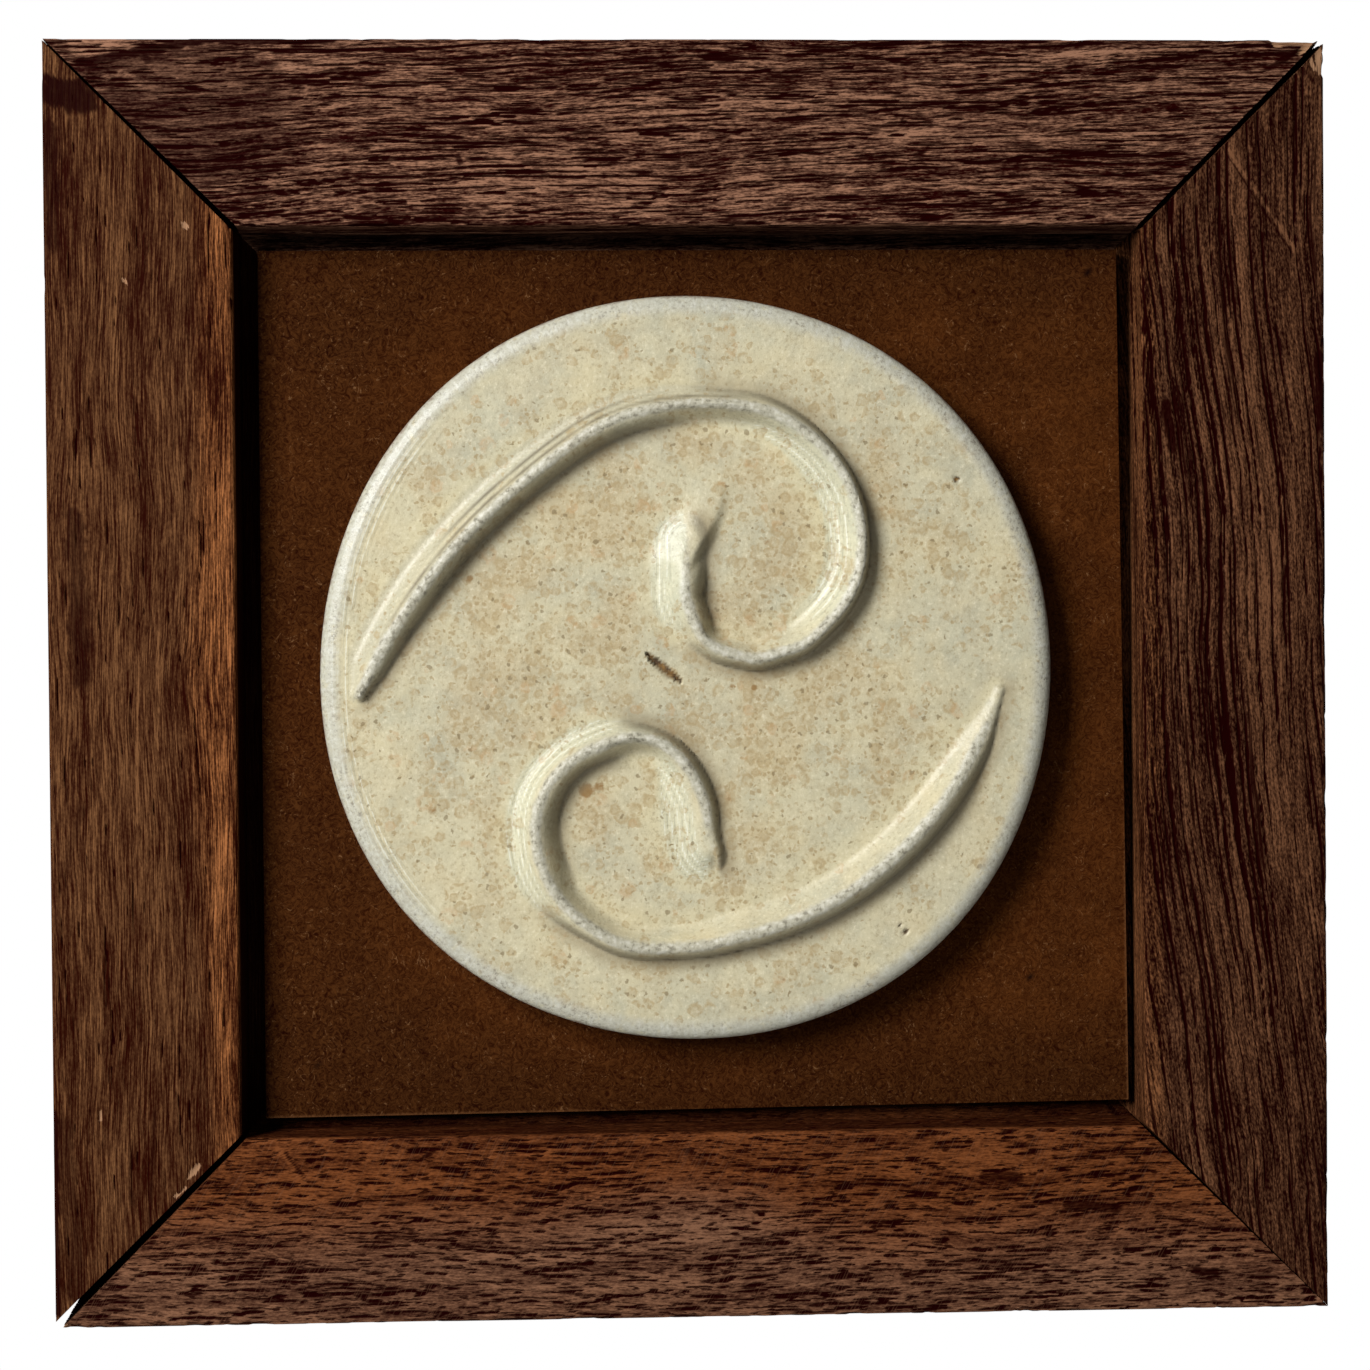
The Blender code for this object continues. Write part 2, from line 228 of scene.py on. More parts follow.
def fine_cuts(rail):
    """Divides the seen sides of a rail finely enough for its pores, mostly across the grain."""
    fine = 1 * MM

    def along(at, run):
        return abs(run.x) > fine and abs(run.y) + abs(run.z) < arris / 100

    def across_front(at, run):
        return at.y < front_y + arris / 4 and abs(run.z) > fine

    def down_inside(at, run):
        return abs(at.z + rail_width) < arris / 4 and abs(run.y) > 4 * fine

    def down_outside(at, run):
        return at.z > -arris / 4 and abs(run.y) > 4 * fine

    cuts = (
        (7, along),
        (36, along),
        (8, across_front),
        (12, across_front),
        (29, down_inside),
        (19, down_outside),
    )
    bpy.ops.object.mode_set(mode="EDIT")
    for number, test in cuts:
        pick("EDGE", test)
        bpy.ops.mesh.subdivide(number_cuts=number)
    bpy.ops.object.mode_set(mode="OBJECT")


def marked(x, inset, marks, seed):
    """Marks on a rail, 0 to 1: each is (half its width, how strong, its points along the rail and in from
    the outer edge), all lengths in millimetres."""
    depth = np.zeros(len(x))
    ragged = 0.6 + 0.8 * cloudy(x, inset, 0.9 * MM, seed)
    for half_width, strength, *points in marks:
        line = [(at * MM, in_from_edge * MM, 0.0) for at, in_from_edge in points]
        away, _, _ = nearest(line, x, inset)
        depth = np.maximum(depth, strength * (1 - eased(away / (half_width * MM * ragged), 0.5, 1.2)))
    return depth


def open_pores(x, line, streaks, seed):
    """How deep the wood's cut-open vessels are, 0 to 1: tapered, frayed streaks along the grain."""
    chance = np.random.RandomState(seed)
    fray = cloudy(x, line, (1.4 * MM, 0.5 * MM), seed + 1)
    depth = np.zeros(len(x))
    for count, shortest, longest, thinnest, widest, crowded in streaks:
        for _ in range(count):
            length = shortest * (longest / shortest) ** chance.random_sample()
            width = thinnest + (widest - thinnest) * chance.random_sample() ** 1.5
            start = chance.uniform(-length / 2, frame_width)
            middle = chance.uniform(-frame_depth, rail_width + 9 * MM)
            keep = chance.random_sample()
            if keep > 1 - crowded * np.clip(middle / rail_width, 0, 1):
                continue
            near = (x > start) & (x < start + length) & (np.abs(line - middle) < width)
            along = (x[near] - start) / length
            reach = width * np.sin(np.pi * along) ** 0.4 * (0.35 + 0.75 * fray[near])
            share = np.clip(1.2 - np.abs(line[near] - middle) / reach, 0, 1)
            depth[near] = np.maximum(depth[near], share)
    return depth


def node(tree, kind, sockets=(), **settings):
    """A shader node with its settings, each socket given a value or the output that feeds it."""
    made = tree.nodes.new("ShaderNode" + kind)
    for key, value in settings.items():
        setattr(made, key, value)
    for socket, value in dict(sockets).items():
        if isinstance(value, bpy.types.NodeSocket):
            tree.links.new(value, made.inputs[socket])
        else:
            made.inputs[socket].default_value = value
    return made


def worked(tree, operation, *values):
    """A sum, product or the like of values and outputs."""
    return node(tree, "Math", dict(enumerate(values)), operation=operation).outputs[0]


def product(tree, first, second):
    return worked(tree, "MULTIPLY", first, second)


def difference(tree, first, second):
    return worked(tree, "SUBTRACT", first, second)


def raised(tree, base, value, factor):
    """A value times a factor, added to the base."""
    return worked(tree, "MULTIPLY_ADD", value, factor, base)


def vector_worked(tree, operation, first, second):
    return node(tree, "VectorMath", {0: first, 1: second}, operation=operation).outputs[0]


def noise(tree, place, scale, detail, roughness=0.5, distortion=0.0):
    """Random values over a place, as Fac and as Color."""
    sockets = {"Vector": place, "Scale": scale, "Detail": detail}
    sockets.update({"Roughness": roughness, "Distortion": distortion})
    return node(tree, "TexNoise", sockets).outputs


def stepped(tree, value, low, high):
    """0 below low, 1 above high and a soft step between them."""
    sockets = {"Value": value, "From Min": low, "From Max": high}
    return node(tree, "MapRange", sockets, interpolation_type="SMOOTHSTEP").outputs[0]


def mixed(tree, share, first, second):
    """Two colours mixed by a share."""
    return node(tree, "Mix", {0: share, 6: first, 7: second}, data_type="RGBA").outputs[2]


def painted(tree, name, kind="Fac"):
    """The value, or the Vector, that paint() kept under a name."""
    return node(tree, "Attribute", attribute_name=name).outputs[kind]


def effect(name, takes, gives):
    """An empty node group with its named sockets, as (group, what comes in, what goes out)."""
    group = bpy.data.node_groups.new(name, "ShaderNodeTree")
    for in_out, sockets in (("INPUT", takes), ("OUTPUT", gives)):
        for socket, kind in sockets:
            group.interface.new_socket(socket, in_out=in_out, socket_type="NodeSocket" + kind)
    return group, group.nodes.new("NodeGroupInput").outputs, group.nodes.new("NodeGroupOutput").inputs


def wood_effect():
    """Stained open-pored wood: fine streaks along the grain, dark pores, warm, bare and dirty places, painted
    shade down the inner walls, and the scratches of coarse sandpaper."""
    colours = ("Light", "Dark", "Warm", "Pore", "Bare")
    sizes = ("Streak Length", "Streak Width", "Pore Length", "Pore Width")
    amounts = ("Streaks", "Flecks", "Pores", "Scratches")
    group, takes, gives = effect(
        "stained wood",
        [(name, "Color") for name in colours] + [(name, "Float") for name in sizes + amounts],
        (("Color", "Color"), ("Roughness", "Float"), ("Height", "Float")),
    )
    grain = painted(group, "grain", "Vector")

    def drawn_out(length, width, detail, roughness):
        """Noise stretched along the grain."""
        across = worked(group, "DIVIDE", 1.0, width)
        along = worked(group, "DIVIDE", 1.0, length)
        stretch = node(group, "CombineXYZ", {"X": along, "Y": across, "Z": across}).outputs[0]
        return noise(group, vector_worked(group, "MULTIPLY", grain, stretch), 1.0, detail, roughness)["Fac"]

    def about_zero(value):
        return difference(group, value, 0.5)

    hair_length = product(group, takes["Streak Length"], 0.3)
    hair_width = product(group, takes["Streak Width"], 0.42)
    fibre_length, fibre_width = 0.6 * MM, 0.24 * MM
    streaks = drawn_out(takes["Streak Length"], takes["Streak Width"], 3.0, 0.6)
    hairs = drawn_out(hair_length, hair_width, 2.0, 0.5)
    cells = drawn_out(takes["Pore Length"], takes["Pore Width"], 2.5, 0.62)
    fibres = drawn_out(fibre_length, fibre_width, 2.0, 0.6)

    # How light the stain has dried
    band = painted(group, "band")
    tone = raised(group, band, about_zero(streaks), takes["Streaks"])
    tone = raised(group, tone, about_zero(hairs), product(group, takes["Streaks"], 0.8))
    tone = raised(group, tone, about_zero(fibres), takes["Flecks"])
    tone = worked(group, "MINIMUM", worked(group, "MAXIMUM", tone, 0.0), 1.15)
    tone = worked(group, "POWER", tone, 2.0)
    colour = mixed(group, tone, takes["Dark"], takes["Light"])
    warm_colour = mixed(group, tone, takes["Dark"], takes["Warm"])
    colour = mixed(group, product(group, painted(group, "warm"), 0.85), colour, warm_colour)

    # Pores: the large ones that grow_wood placed, and small ones all over
    frayed = raised(group, painted(group, "pore"), about_zero(hairs), 1.4)
    bold = stepped(group, raised(group, frayed, about_zero(fibres), 0.5), 0.3, 0.75)
    crowding = raised(group, difference(group, 0.66, takes["Pores"]), band, 0.10)
    small = difference(group, raised(group, cells, about_zero(fibres), 0.12), crowding)
    small = product(group, stepped(group, small, -0.02, 0.05), 0.9)
    pores = worked(group, "MAXIMUM", bold, small)
    colour = mixed(group, pores, colour, takes["Pore"])

    # Scratches across the grain at a slant
    slant = {"Vector": grain, "Angle": math.radians(62)}
    slanted = node(group, "VectorRotate", slant, rotation_type="Z_AXIS")
    stretched = vector_worked(group, "MULTIPLY", slanted.outputs[0], (160, 5200, 1))
    scratches = stepped(group, noise(group, stretched, 1.0, 1.0)["Fac"], 0.56, 0.68)
    colour = mixed(group, product(group, scratches, takes["Scratches"]), colour, takes["Light"])

    bare = stepped(group, raised(group, painted(group, "bare"), about_zero(hairs), 1.2), 0.4, 0.6)
    colour = mixed(group, bare, colour, takes["Bare"])
    # Real stains, and painted shade down the inner walls, darken towards the pore colour
    stain_and_wall_shade = stepped(group, raised(group, painted(group, "stain"), about_zero(hairs), 1.4), 0.1, 0.95)
    colour = mixed(group, product(group, stain_and_wall_shade, 0.93), colour, takes["Pore"])
    roughness = raised(group, raised(group, 0.5, streaks, 0.2), pores, 0.2)
    height = difference(group, raised(group, streaks, hairs, 0.6), pores)
    group.links.new(colour, gives["Color"])
    group.links.new(roughness, gives["Roughness"])
    group.links.new(height, gives["Height"])
    return group


stained_wood = wood_effect()
black_stain = (24, 0, 0)
bare_wood = (150, 113, 84)


def new_finish(name):
    """A new material, as (material, its nodes, its shader)."""
    made = bpy.data.materials.new(name)
    made.use_nodes = True
    return made, made.node_tree, made.node_tree.nodes["Principled BSDF"]


def bumped(tree, shader, height, depth):
    bump = node(tree, "Bump", {"Height": height, "Distance": depth, "Strength": 1.0})
    tree.links.new(bump.outputs["Normal"], shader.inputs["Normal"])


def wood_finish(name, looks):
    made, tree, shader = new_finish(name)
    wood = node(tree, "Group", node_tree=stained_wood)
    for socket, value in {**looks, "Pore": black_stain, "Bare": bare_wood}.items():
        wood.inputs[socket].default_value = screen_colour(*value) if isinstance(value, tuple) else value
    tree.links.new(wood.outputs["Color"], shader.inputs["Base Color"])
    tree.links.new(wood.outputs["Roughness"], shader.inputs["Roughness"])
    bumped(tree, shader, wood.outputs["Height"], 0.07 * MM)
    shader.inputs["Specular IOR Level"].default_value = 0.015
    return made


# Each rail's own wood. Drift is how far the grain has moved towards the outer edge at a distance along the
# rail, in millimetres. Streaks are (how many, shortest, longest, thinnest, widest, how much fewer towards the
# inner edge), and bands (length, width, contrast, how much darker than even). The looks are the wood effect's
# values, its colours as screen values. Stain, pale and bare are marks, as in marked(). The wall shade is how
# strongly painted shade darkens the rail's inner wall and ledge; it is carried with the stains.
rail_woods = {
    "rail_top": {
        "ends": ("top_left", "top_right"),
        "painted_wall_shade": 0.35,
        "drift": ((0, 0), (60, 2.2), (120, 4.0), (178, 5.6)),
        "streaks": (
            (560, 6 * MM, 26 * MM, 0.16 * MM, 0.34 * MM, 0.0),
            (1500, 2 * MM, 9 * MM, 0.14 * MM, 0.30 * MM, 0.0),
        ),
        "bands": (24 * MM, 1.3 * MM, 0.5, 0.0),
        "seed": 11,
        "looks": {
            "Light": (146, 105, 82),
            "Dark": (30, 0, 0),
            "Streak Length": 5 * MM,
            "Streak Width": 0.33 * MM,
            "Streaks": 2.3,
            "Flecks": 1.2,
            "Pore Length": 7 * MM,
            "Pore Width": 0.42 * MM,
            "Pores": 0.11,
        },
        "stain": (
            (0.75, 1.0, (22, 0.3), (13, 1.9), (5, 3.5)),
            (0.6, 1.0, (16, 0.2), (26, 0.3), (40, 0.2)),
            (1.4, 0.6, (7, 4.0), (18, 2.6), (26, 1.6)),
            (12.0, 0.52, (4, 14.0), (26, 11.0)),
            (0.6, 1.0, (14.3, 2.8), (14.6, 3.1)),
            (0.45, 1.0, (118.7, 11.4), (118.9, 11.5)),
            (0.4, 1.0, (121.5, 24.4), (121.7, 24.9)),
            (0.35, 0.9, (57.0, 16.2), (57.3, 17.2)),
            (0.5, 0.9, (170.0, 4.2), (174.5, 1.6)),
        ),
        "pale": (
            (1.6, 1.0, (5, 1.0), (12, 0.8)),
            (3.5, 0.5, (60, 21.5), (84, 21.0)),
            (2.0, 0.5, (96, 18.0), (112, 17.0)),
        ),
        "bare": ((1.0, 0.9, (171.5, 0.2), (176.5, 0.3)), (0.8, 0.8, (174.5, 1.8), (176.5, 0.8))),
    },
    "rail_right": {
        "ends": ("top_right", "bottom_right"),
        "drift": ((0, 0), (32, 0.5), (48, 2.6), (62, 4.4), (95, 5.8), (125, 9.0), (178, 16.0)),
        "streaks": (
            (150, 30 * MM, 120 * MM, 0.24 * MM, 0.46 * MM, 0.0),
            (240, 8 * MM, 30 * MM, 0.16 * MM, 0.34 * MM, 0.0),
        ),
        "bands": (26 * MM, 2.6 * MM, 0.36, -0.02),
        "warm_width": 2.2 * MM,
        "seed": 23,
        "looks": {
            "Light": (110, 73, 49),
            "Dark": (22, 0, 0),
            "Warm": (128, 82, 50),
            "Streak Length": 9 * MM,
            "Streak Width": 0.5 * MM,
            "Streaks": 1.3,
            "Flecks": 1.7,
            "Pore Length": 30 * MM,
            "Pore Width": 0.75 * MM,
            "Pores": 0.075,
        },
        "stain": (
            (0.9, 1.0, (51.0, 22.5), (57.0, 21.6)),
            (0.7, 0.9, (44.0, 1.0), (54.0, 0.8)),
            (0.16, 0.9, (15.7, 14.0), (29.9, 4.6)),
            (0.5, 1.0, (35.5, 0.4), (37.0, 0.3)),
            (0.4, 0.8, (3.0, 3.6), (6.0, 1.6)),
        ),
        "pale": ((0.25, 1.0, (15.4, 13.6), (29.4, 4.2)), (1.8, 0.35, (70.0, 7.0), (84.0, 9.0))),
        "bare": ((0.8, 0.8, (1.8, 0.8), (4.6, 0.3)), (0.5, 0.6, (2.6, 1.9), (4.4, 1.2))),
    },
    "rail_bottom": {
        "ends": ("bottom_right", "bottom_left"),
        "drift": ((0, 0), (80, 0.8), (178, -0.6)),
        "streaks": (
            (1500, 2.5 * MM, 8 * MM, 0.22 * MM, 0.44 * MM, 0.4),
            (2600, 0.9 * MM, 3.5 * MM, 0.20 * MM, 0.42 * MM, 0.5),
        ),
        "bands": (16 * MM, 1.6 * MM, 0.34, -0.23),
        "painted_wall_shade": 0.6,
        "warm_width": 12 * MM,
        "seed": 37,
        "looks": {
            "Light": (126, 88, 65),
            "Dark": (30, 0, 0),
            "Warm": (113, 60, 24),
            "Streak Length": 3.5 * MM,
            "Streak Width": 0.32 * MM,
            "Streaks": 1.1,
            "Flecks": 0.9,
            "Pore Length": 2.4 * MM,
            "Pore Width": 0.46 * MM,
            "Pores": 0.15,
            "Scratches": 0.14,
        },
        "stain": (
            (0.3, 0.9, (146, 24.0), (143.6, 20.5)),
            (0.9, 0.8, (44, 19.0), (49, 19.2)),
            (0.8, 0.8, (30, 14.5), (37, 15.0)),
            (0.7, 0.9, (16, 5.2), (19, 5.6)),
        ),
        "pale": ((0.3, 0.8, (147, 24.6), (144, 20.5)),),
        "bare": ((0.5, 0.7, (176.4, 0.4), (178, 0.3)),),
    },
    "rail_left": {
        "ends": ("bottom_left", "top_left"),
        "drift": ((0, 0), (90, 0.4), (178, -0.3)),
        "streaks": (
            (70, 3 * MM, 14 * MM, 0.12 * MM, 0.24 * MM, 0.0),
            (240, 1 * MM, 5 * MM, 0.12 * MM, 0.2 * MM, 0.0),
        ),
        "bands": (22 * MM, 2.6 * MM, 0.4, 0.06),
        "painted_wall_shade": 1.0,
        "warm_width": 4.4 * MM,
        "seed": 41,
        "looks": {
            "Light": (116, 78, 48),
            "Dark": (36, 4, 0),
            "Warm": (172, 108, 62),
            "Streak Length": 9 * MM,
            "Streak Width": 0.24 * MM,
            "Streaks": 2.0,
            "Flecks": 0.8,
            "Pore Length": 4 * MM,
            "Pore Width": 0.24 * MM,
            "Pores": 0.05,
        },
        "stain": (
            (0.7, 1.0, (172.6, 0.3), (171.6, 3.5), (172.2, 6.6)),
            (2.2, 1.0, (170.2, 1.0), (169.6, 6.0)),
            (1.5, 0.6, (166.0, 1.0), (150.0, 1.2)),
            (0.5, 0.9, (2.0, 0.3), (30.0, 0.3)),
            (1.6, 0.5, (5.0, 3.0), (28.0, 1.5)),
            (1.8, 0.6, (90.0, 4.5), (112.0, 4.0)),
            (0.8, 0.4, (62.0, 1.5), (72.0, 4.5)),
            (0.3, 0.6, (12.0, 13.0), (30.0, 14.0)),
        ),
        "pale": (
            (1.2, 0.7, (173.5, 1.0), (176.5, 1.4)),
            (0.2, 1.0, (70.0, 12.0), (94.0, 12.4)),
            (0.15, 1.0, (80.0, 15.0), (96.0, 15.2)),
        ),
        "bare": (
            (0.35, 1.0, (152.4, 19.2), (152.0, 19.6)),
            (0.35, 1.0, (144.8, 11.0), (144.5, 11.3)),
            (0.5, 0.7, (22.4, 19.9), (20.6, 18.6)),
            (0.4, 0.65, (19.2, 18.2), (18.2, 16.8)),
            (0.25, 0.8, (30.0, 6.6), (28.8, 6.5)),
        ),
    },
}


def grow_wood(rail, wood):
    """Gives a rail on the bench its own grain: pores pressed in, and what its finish reads."""
    places = places_of(rail)
    x, y, z = places.T
    seed = wood["seed"]
    inset = -z
    unrolled = inset + np.maximum(y - front_y, 0) * np.clip(2 * inset / rail_width - 1, -1, 1)
    distances, drifts = np.array(wood["drift"]).T * MM
    drift = sum(np.interp(x + step * MM, distances, drifts) for step in (-8, -4, 0, 4, 8)) / 5
    wave = (cloudy(x, unrolled, (22 * MM, 9 * MM), seed + 2) - 0.5) * grain_wave
    ripple = (cloudy(x, unrolled, (6 * MM, 3 * MM), seed + 3) - 0.5) * grain_ripple
    off_back = 1 - eased(y, -0.9 * MM, -0.1 * MM)
    by_front = 1 - eased(y - front_y, 1.5 * MM, 6 * MM)
    line = unrolled + (drift + wave + ripple) * off_back
    pore = open_pores(x, line, wood["streaks"], seed + 4) * off_back
    long, wide, contrast, darker = wood["bands"]
    bands = 0.5 * cloudy(x, line, (long, wide), seed + 5)
    bands += 0.3 * cloudy(x, line, (long / 3, wide / 2.4), seed + 6)
    bands += 0.2 * cloudy(x, line, (long / 8, wide / 5), seed + 7)
    band = 0.5 + (bands - 0.5) * 2.0 * contrast * off_back - darker
    band += marked(x, inset, wood["pale"], seed + 11) * 0.45 * by_front
    warm = np.zeros(len(x))
    if "warm_width" in wood:
        spread = wood["warm_width"] * (0.6 + 0.8 * cloudy(x, x * 0, 30 * MM, seed + 8))
        warm = eased(unrolled - rail_width + spread, -spread / 2, spread / 2) * off_back
    seen = (y < ledge_y) | (inset < rail_width / 2)
    front = (y < front_y + arris) | (np.abs(inset - rail_width) < arris / 4) | (inset < arris / 4)
    bare = marked(x, inset, wood["bare"], seed + 9) * (y < front_y + 2 * MM)
    depth = np.where(seen & front, pore * pore_depth + (1 - bands) * band_depth + bare * chip_depth, 0)
    press_in(rail, depth)
    # Painted shade darkening the inner wall and the ledge, carried in the stain mark with the real stains
    down_inside = eased(unrolled - rail_width, 0.4 * MM, 1.8 * MM) * off_back
    painted_wall_shade = wood.get("painted_wall_shade", 0) * down_inside
    stain = marked(x, inset, wood["stain"], seed + 10) * by_front
    paint(rail, "grain", np.stack((x, line, x * 0 + seed * 5 * MM), axis=1))
    paint(rail, "pore", pore)
    paint(rail, "band", band)
    paint(rail, "warm", warm)
    paint(rail, "bare", bare)
    paint(rail, "stain", np.maximum(stain, painted_wall_shade))


for turn, (name, wood) in enumerate(rail_woods.items()):
    first, last = wood["ends"]
    rail = sawn_rail(name + "_wood", mitre_gaps[first], mitre_gaps[last], bored=name == "rail_top")
    fine_cuts(rail)
    grow_wood(rail, wood)
    rail.data.materials.append(wood_finish(name + " stained wood", wood["looks"]))
    bpy.ops.object.shade_smooth_by_angle(angle=math.radians(50))
    quarter = Matrix.Rotation(turn * math.pi / 2, 4, "Y")
    corner = quarter @ Vector((-frame_width / 2, 0, frame_width / 2))
    rail.rotation_euler = quarter.to_euler()
    rail.location = frame_middle + corner
    bpy.ops.object.transform_apply(location=True, rotation=True, scale=True)
    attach(rail, "root")
    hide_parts(name)

# The board: brown pressed wood fibre, cut a little small and out of square, lying on the four ledges. Its
# face is matt and felted, with a few dents and dark spots.
board_front_y = -10.3 * MM
board_back_y = -7.3 * MM
board_short = {
    "top_left": (2.7 * MM, 2.5 * MM),
    "top_right": (2.4 * MM, 2.5 * MM),
    "bottom_right": (1.2 * MM, 2.8 * MM),
    "bottom_left": (2.7 * MM, 1.9 * MM),
}
board_cells = 150
# Dark spots in its face, as (x, z, radius, how strong) from the frame's middle, in millimetres
board_spots = ((48.0, -42.6, 0.7, 1.0), (-53.4, -54.0, 0.5, 1.0), (56.6, 57.2, 0.6, 1.0))
felt_depth = 0.05 * MM


def draw_back(piece, steps):
    """Carries the open edge of a sheet back to each plane in turn, drawn in or not, and closes the back."""
    bpy.ops.object.mode_set(mode="EDIT")
    bpy.ops.mesh.select_mode(type="EDGE")
    bpy.ops.mesh.select_all(action="DESELECT")
    bpy.ops.mesh.select_non_manifold(extend=False)
    for middle, narrow in steps:
        bpy.ops.mesh.extrude_region_move()
        bpy.ops.transform.resize(value=(narrow, 0, narrow), center_override=middle)
    bpy.ops.mesh.edge_face_add()
    bpy.ops.mesh.select_all(action="SELECT")
    bpy.ops.mesh.normals_make_consistent(inside=False)
    bpy.ops.object.mode_set(mode="OBJECT")


def upright_grid(name, cells):
    """A square sheet from -1 to 1 in X and Z that faces the front."""
    bpy.ops.object.select_all(action="DESELECT")
    bpy.ops.mesh.primitive_grid_add(
        x_subdivisions=cells, y_subdivisions=cells, size=2, rotation=(math.pi / 2, 0, 0)
    )
    sheet = bpy.context.object
    sheet.name = name
    bpy.ops.object.transform_apply(location=True, rotation=True, scale=True)
    return sheet


def spotted(x, z, spots, low, high):
    """Round spots, full within low and gone beyond high, as shares of their radius."""
    marks = np.zeros(len(x))
    for spot_x, spot_z, radius, strength in spots:
        off = np.hypot(x - spot_x * MM, z - spot_z * MM) / (radius * MM)
        marks = np.maximum(marks, strength * (1 - eased(off, low, high)))
    return marks


def board_corner(name):
    side_x = 1 if "right" in name else -1
    side_z = 1 if "top" in name else -1
    short_x, short_z = board_short[name]
    half = frame_width / 2 - rail_width
    return frame_middle + Vector((side_x * (half - short_x), 0, side_z * (half - short_z)))


board = upright_grid("fibre_board", board_cells)
flat = places_of(board)
right, up = (flat[:, 0:1] + 1) / 2, (flat[:, 2:3] + 1) / 2
corners = {name: np.array(board_corner(name)) for name in board_short}
low_line = corners["bottom_left"] * (1 - right) + corners["bottom_right"] * right
high_line = corners["top_left"] * (1 - right) + corners["top_right"] * right
flat = low_line * (1 - up) + high_line * up
x, z = flat[:, 0], flat[:, 2]
felt = cloudy(x, z, 1.6 * MM, 51) + cloudy(x, z, 5 * MM, 52)
flat[:, 1] = board_front_y + (2 - felt) * felt_depth
place_all(board, flat)
from_right = corners["bottom_right"][0] - x
from_top = corners["top_right"][2] - z
from_left = x - corners["bottom_left"][0]
from_bottom = z - corners["bottom_left"][2]
ragged = rail_width * (0.7 + 0.6 * cloudy(x, z, 7 * MM, 53))
# Darker blotches at random, and painted shade near the top, left and bottom edges where the rails shade the
# board
blotches_and_edge_shade = 0.35 * (cloudy(x, z, 11 * MM, 54) - 0.4)
shaded_sides = ((from_top, 1.0, 0.0, 0.7), (from_left, 0.75, 0.1, 1.5), (from_bottom, 0.9, 0.0, 0.8))
for from_side, strength, low, high in shaded_sides:
    blotches_and_edge_shade += strength * (1 - eased(from_side / ragged, low, high))
cut_edge = np.minimum(from_right, from_bottom)
spots = spotted(x - frame_middle.x, z - frame_middle.z, board_spots, 0.5, 1.1)
paint(board, "blotches_and_edge_shade", np.clip(blotches_and_edge_shade, 0, 1))
paint(board, "cut edge", 1 - eased(cut_edge, 0.2 * MM, 0.7 * MM))
paint(board, "spot", spots)
draw_back(board, (((0, board_back_y, 0), 1.0),))


def mottle_effect():
    """Soft uneven patches of three sizes in one, from 0 to 1, for board and glaze."""
    group, takes, gives = effect("mottle", (("Vector", "Vector"), ("Size", "Float")), (("Patches", "Float"),))
    scale = worked(group, "DIVIDE", 1.0, takes["Size"])
    spread = stepped(group, noise(group, takes["Vector"], scale, 5.0, 0.6)["Fac"], 0.28, 0.72)
    group.links.new(spread, gives["Patches"])
    return group


mottle = mottle_effect()


def mottled(tree, place, size):
    """The mottle effect over a place, with patches of a size."""
    return node(tree, "Group", {"Vector": place, "Size": size}, node_tree=mottle).outputs["Patches"]


def tinted(tree, colour, share, strength, *screen):
    """A colour with another, in screen values, laid over it where the share says."""
    return mixed(tree, product(tree, share, strength), colour, screen_colour(*screen))


def board_finish():
    made, tree, shader = new_finish("pressed wood fibre")
    place = node(tree, "TexCoord").outputs["Object"]
    colour = mixed(tree, mottled(tree, place, 12 * MM), screen_colour(44, 12, 0), screen_colour(77, 37, 9))
    colour = tinted(tree, colour, mottled(tree, place, 3.5 * MM), 0.5, 42, 11, 0)
    # Painted shade near the rails' edges, with random darker blotches
    colour = mixed(tree, painted(tree, "blotches_and_edge_shade"), colour, screen_colour(30, 4, 0))

    # Felted fibres, and a few pale ones that lie loose
    felted = noise(tree, place, 900.0, 6.0, 0.7, 2.5)["Fac"]
    lighter = mixed(tree, 0.24, colour, screen_colour(130, 82, 40))
    darker = mixed(tree, 0.5, colour, screen_colour(24, 2, 0))
    colour = mixed(tree, stepped(tree, felted, 0.3, 0.7), darker, lighter)
    wandering = noise(tree, place, 240.0, 2.0, 0.5, 1.2)["Fac"]
    off_hair = worked(tree, "ABSOLUTE", difference(tree, wandering, 0.5))
    hair = difference(tree, 1.0, stepped(tree, off_hair, 0.002, 0.010))
    hair = product(tree, hair, stepped(tree, felted, 0.5, 0.62))
    colour = tinted(tree, colour, hair, 0.45, 132, 98, 66)

    frayed = product(tree, painted(tree, "cut edge"), worked(tree, "ADD", felted, 0.4))
    colour = tinted(tree, colour, stepped(tree, frayed, 0.4, 0.9), 0.5, 110, 72, 42)
    colour = mixed(tree, painted(tree, "spot"), colour, screen_colour(14, 4, 3))
    tree.links.new(colour, shader.inputs["Base Color"])
    bumped(tree, shader, felted, 0.15 * MM)
    shader.inputs["Roughness"].default_value = 0.9
    shader.inputs["Specular IOR Level"].default_value = 0.02
    return made


board.data.materials.append(board_finish())
bpy.ops.object.shade_smooth_by_angle(angle=math.radians(40))
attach(board, "root")
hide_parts("mount_board")

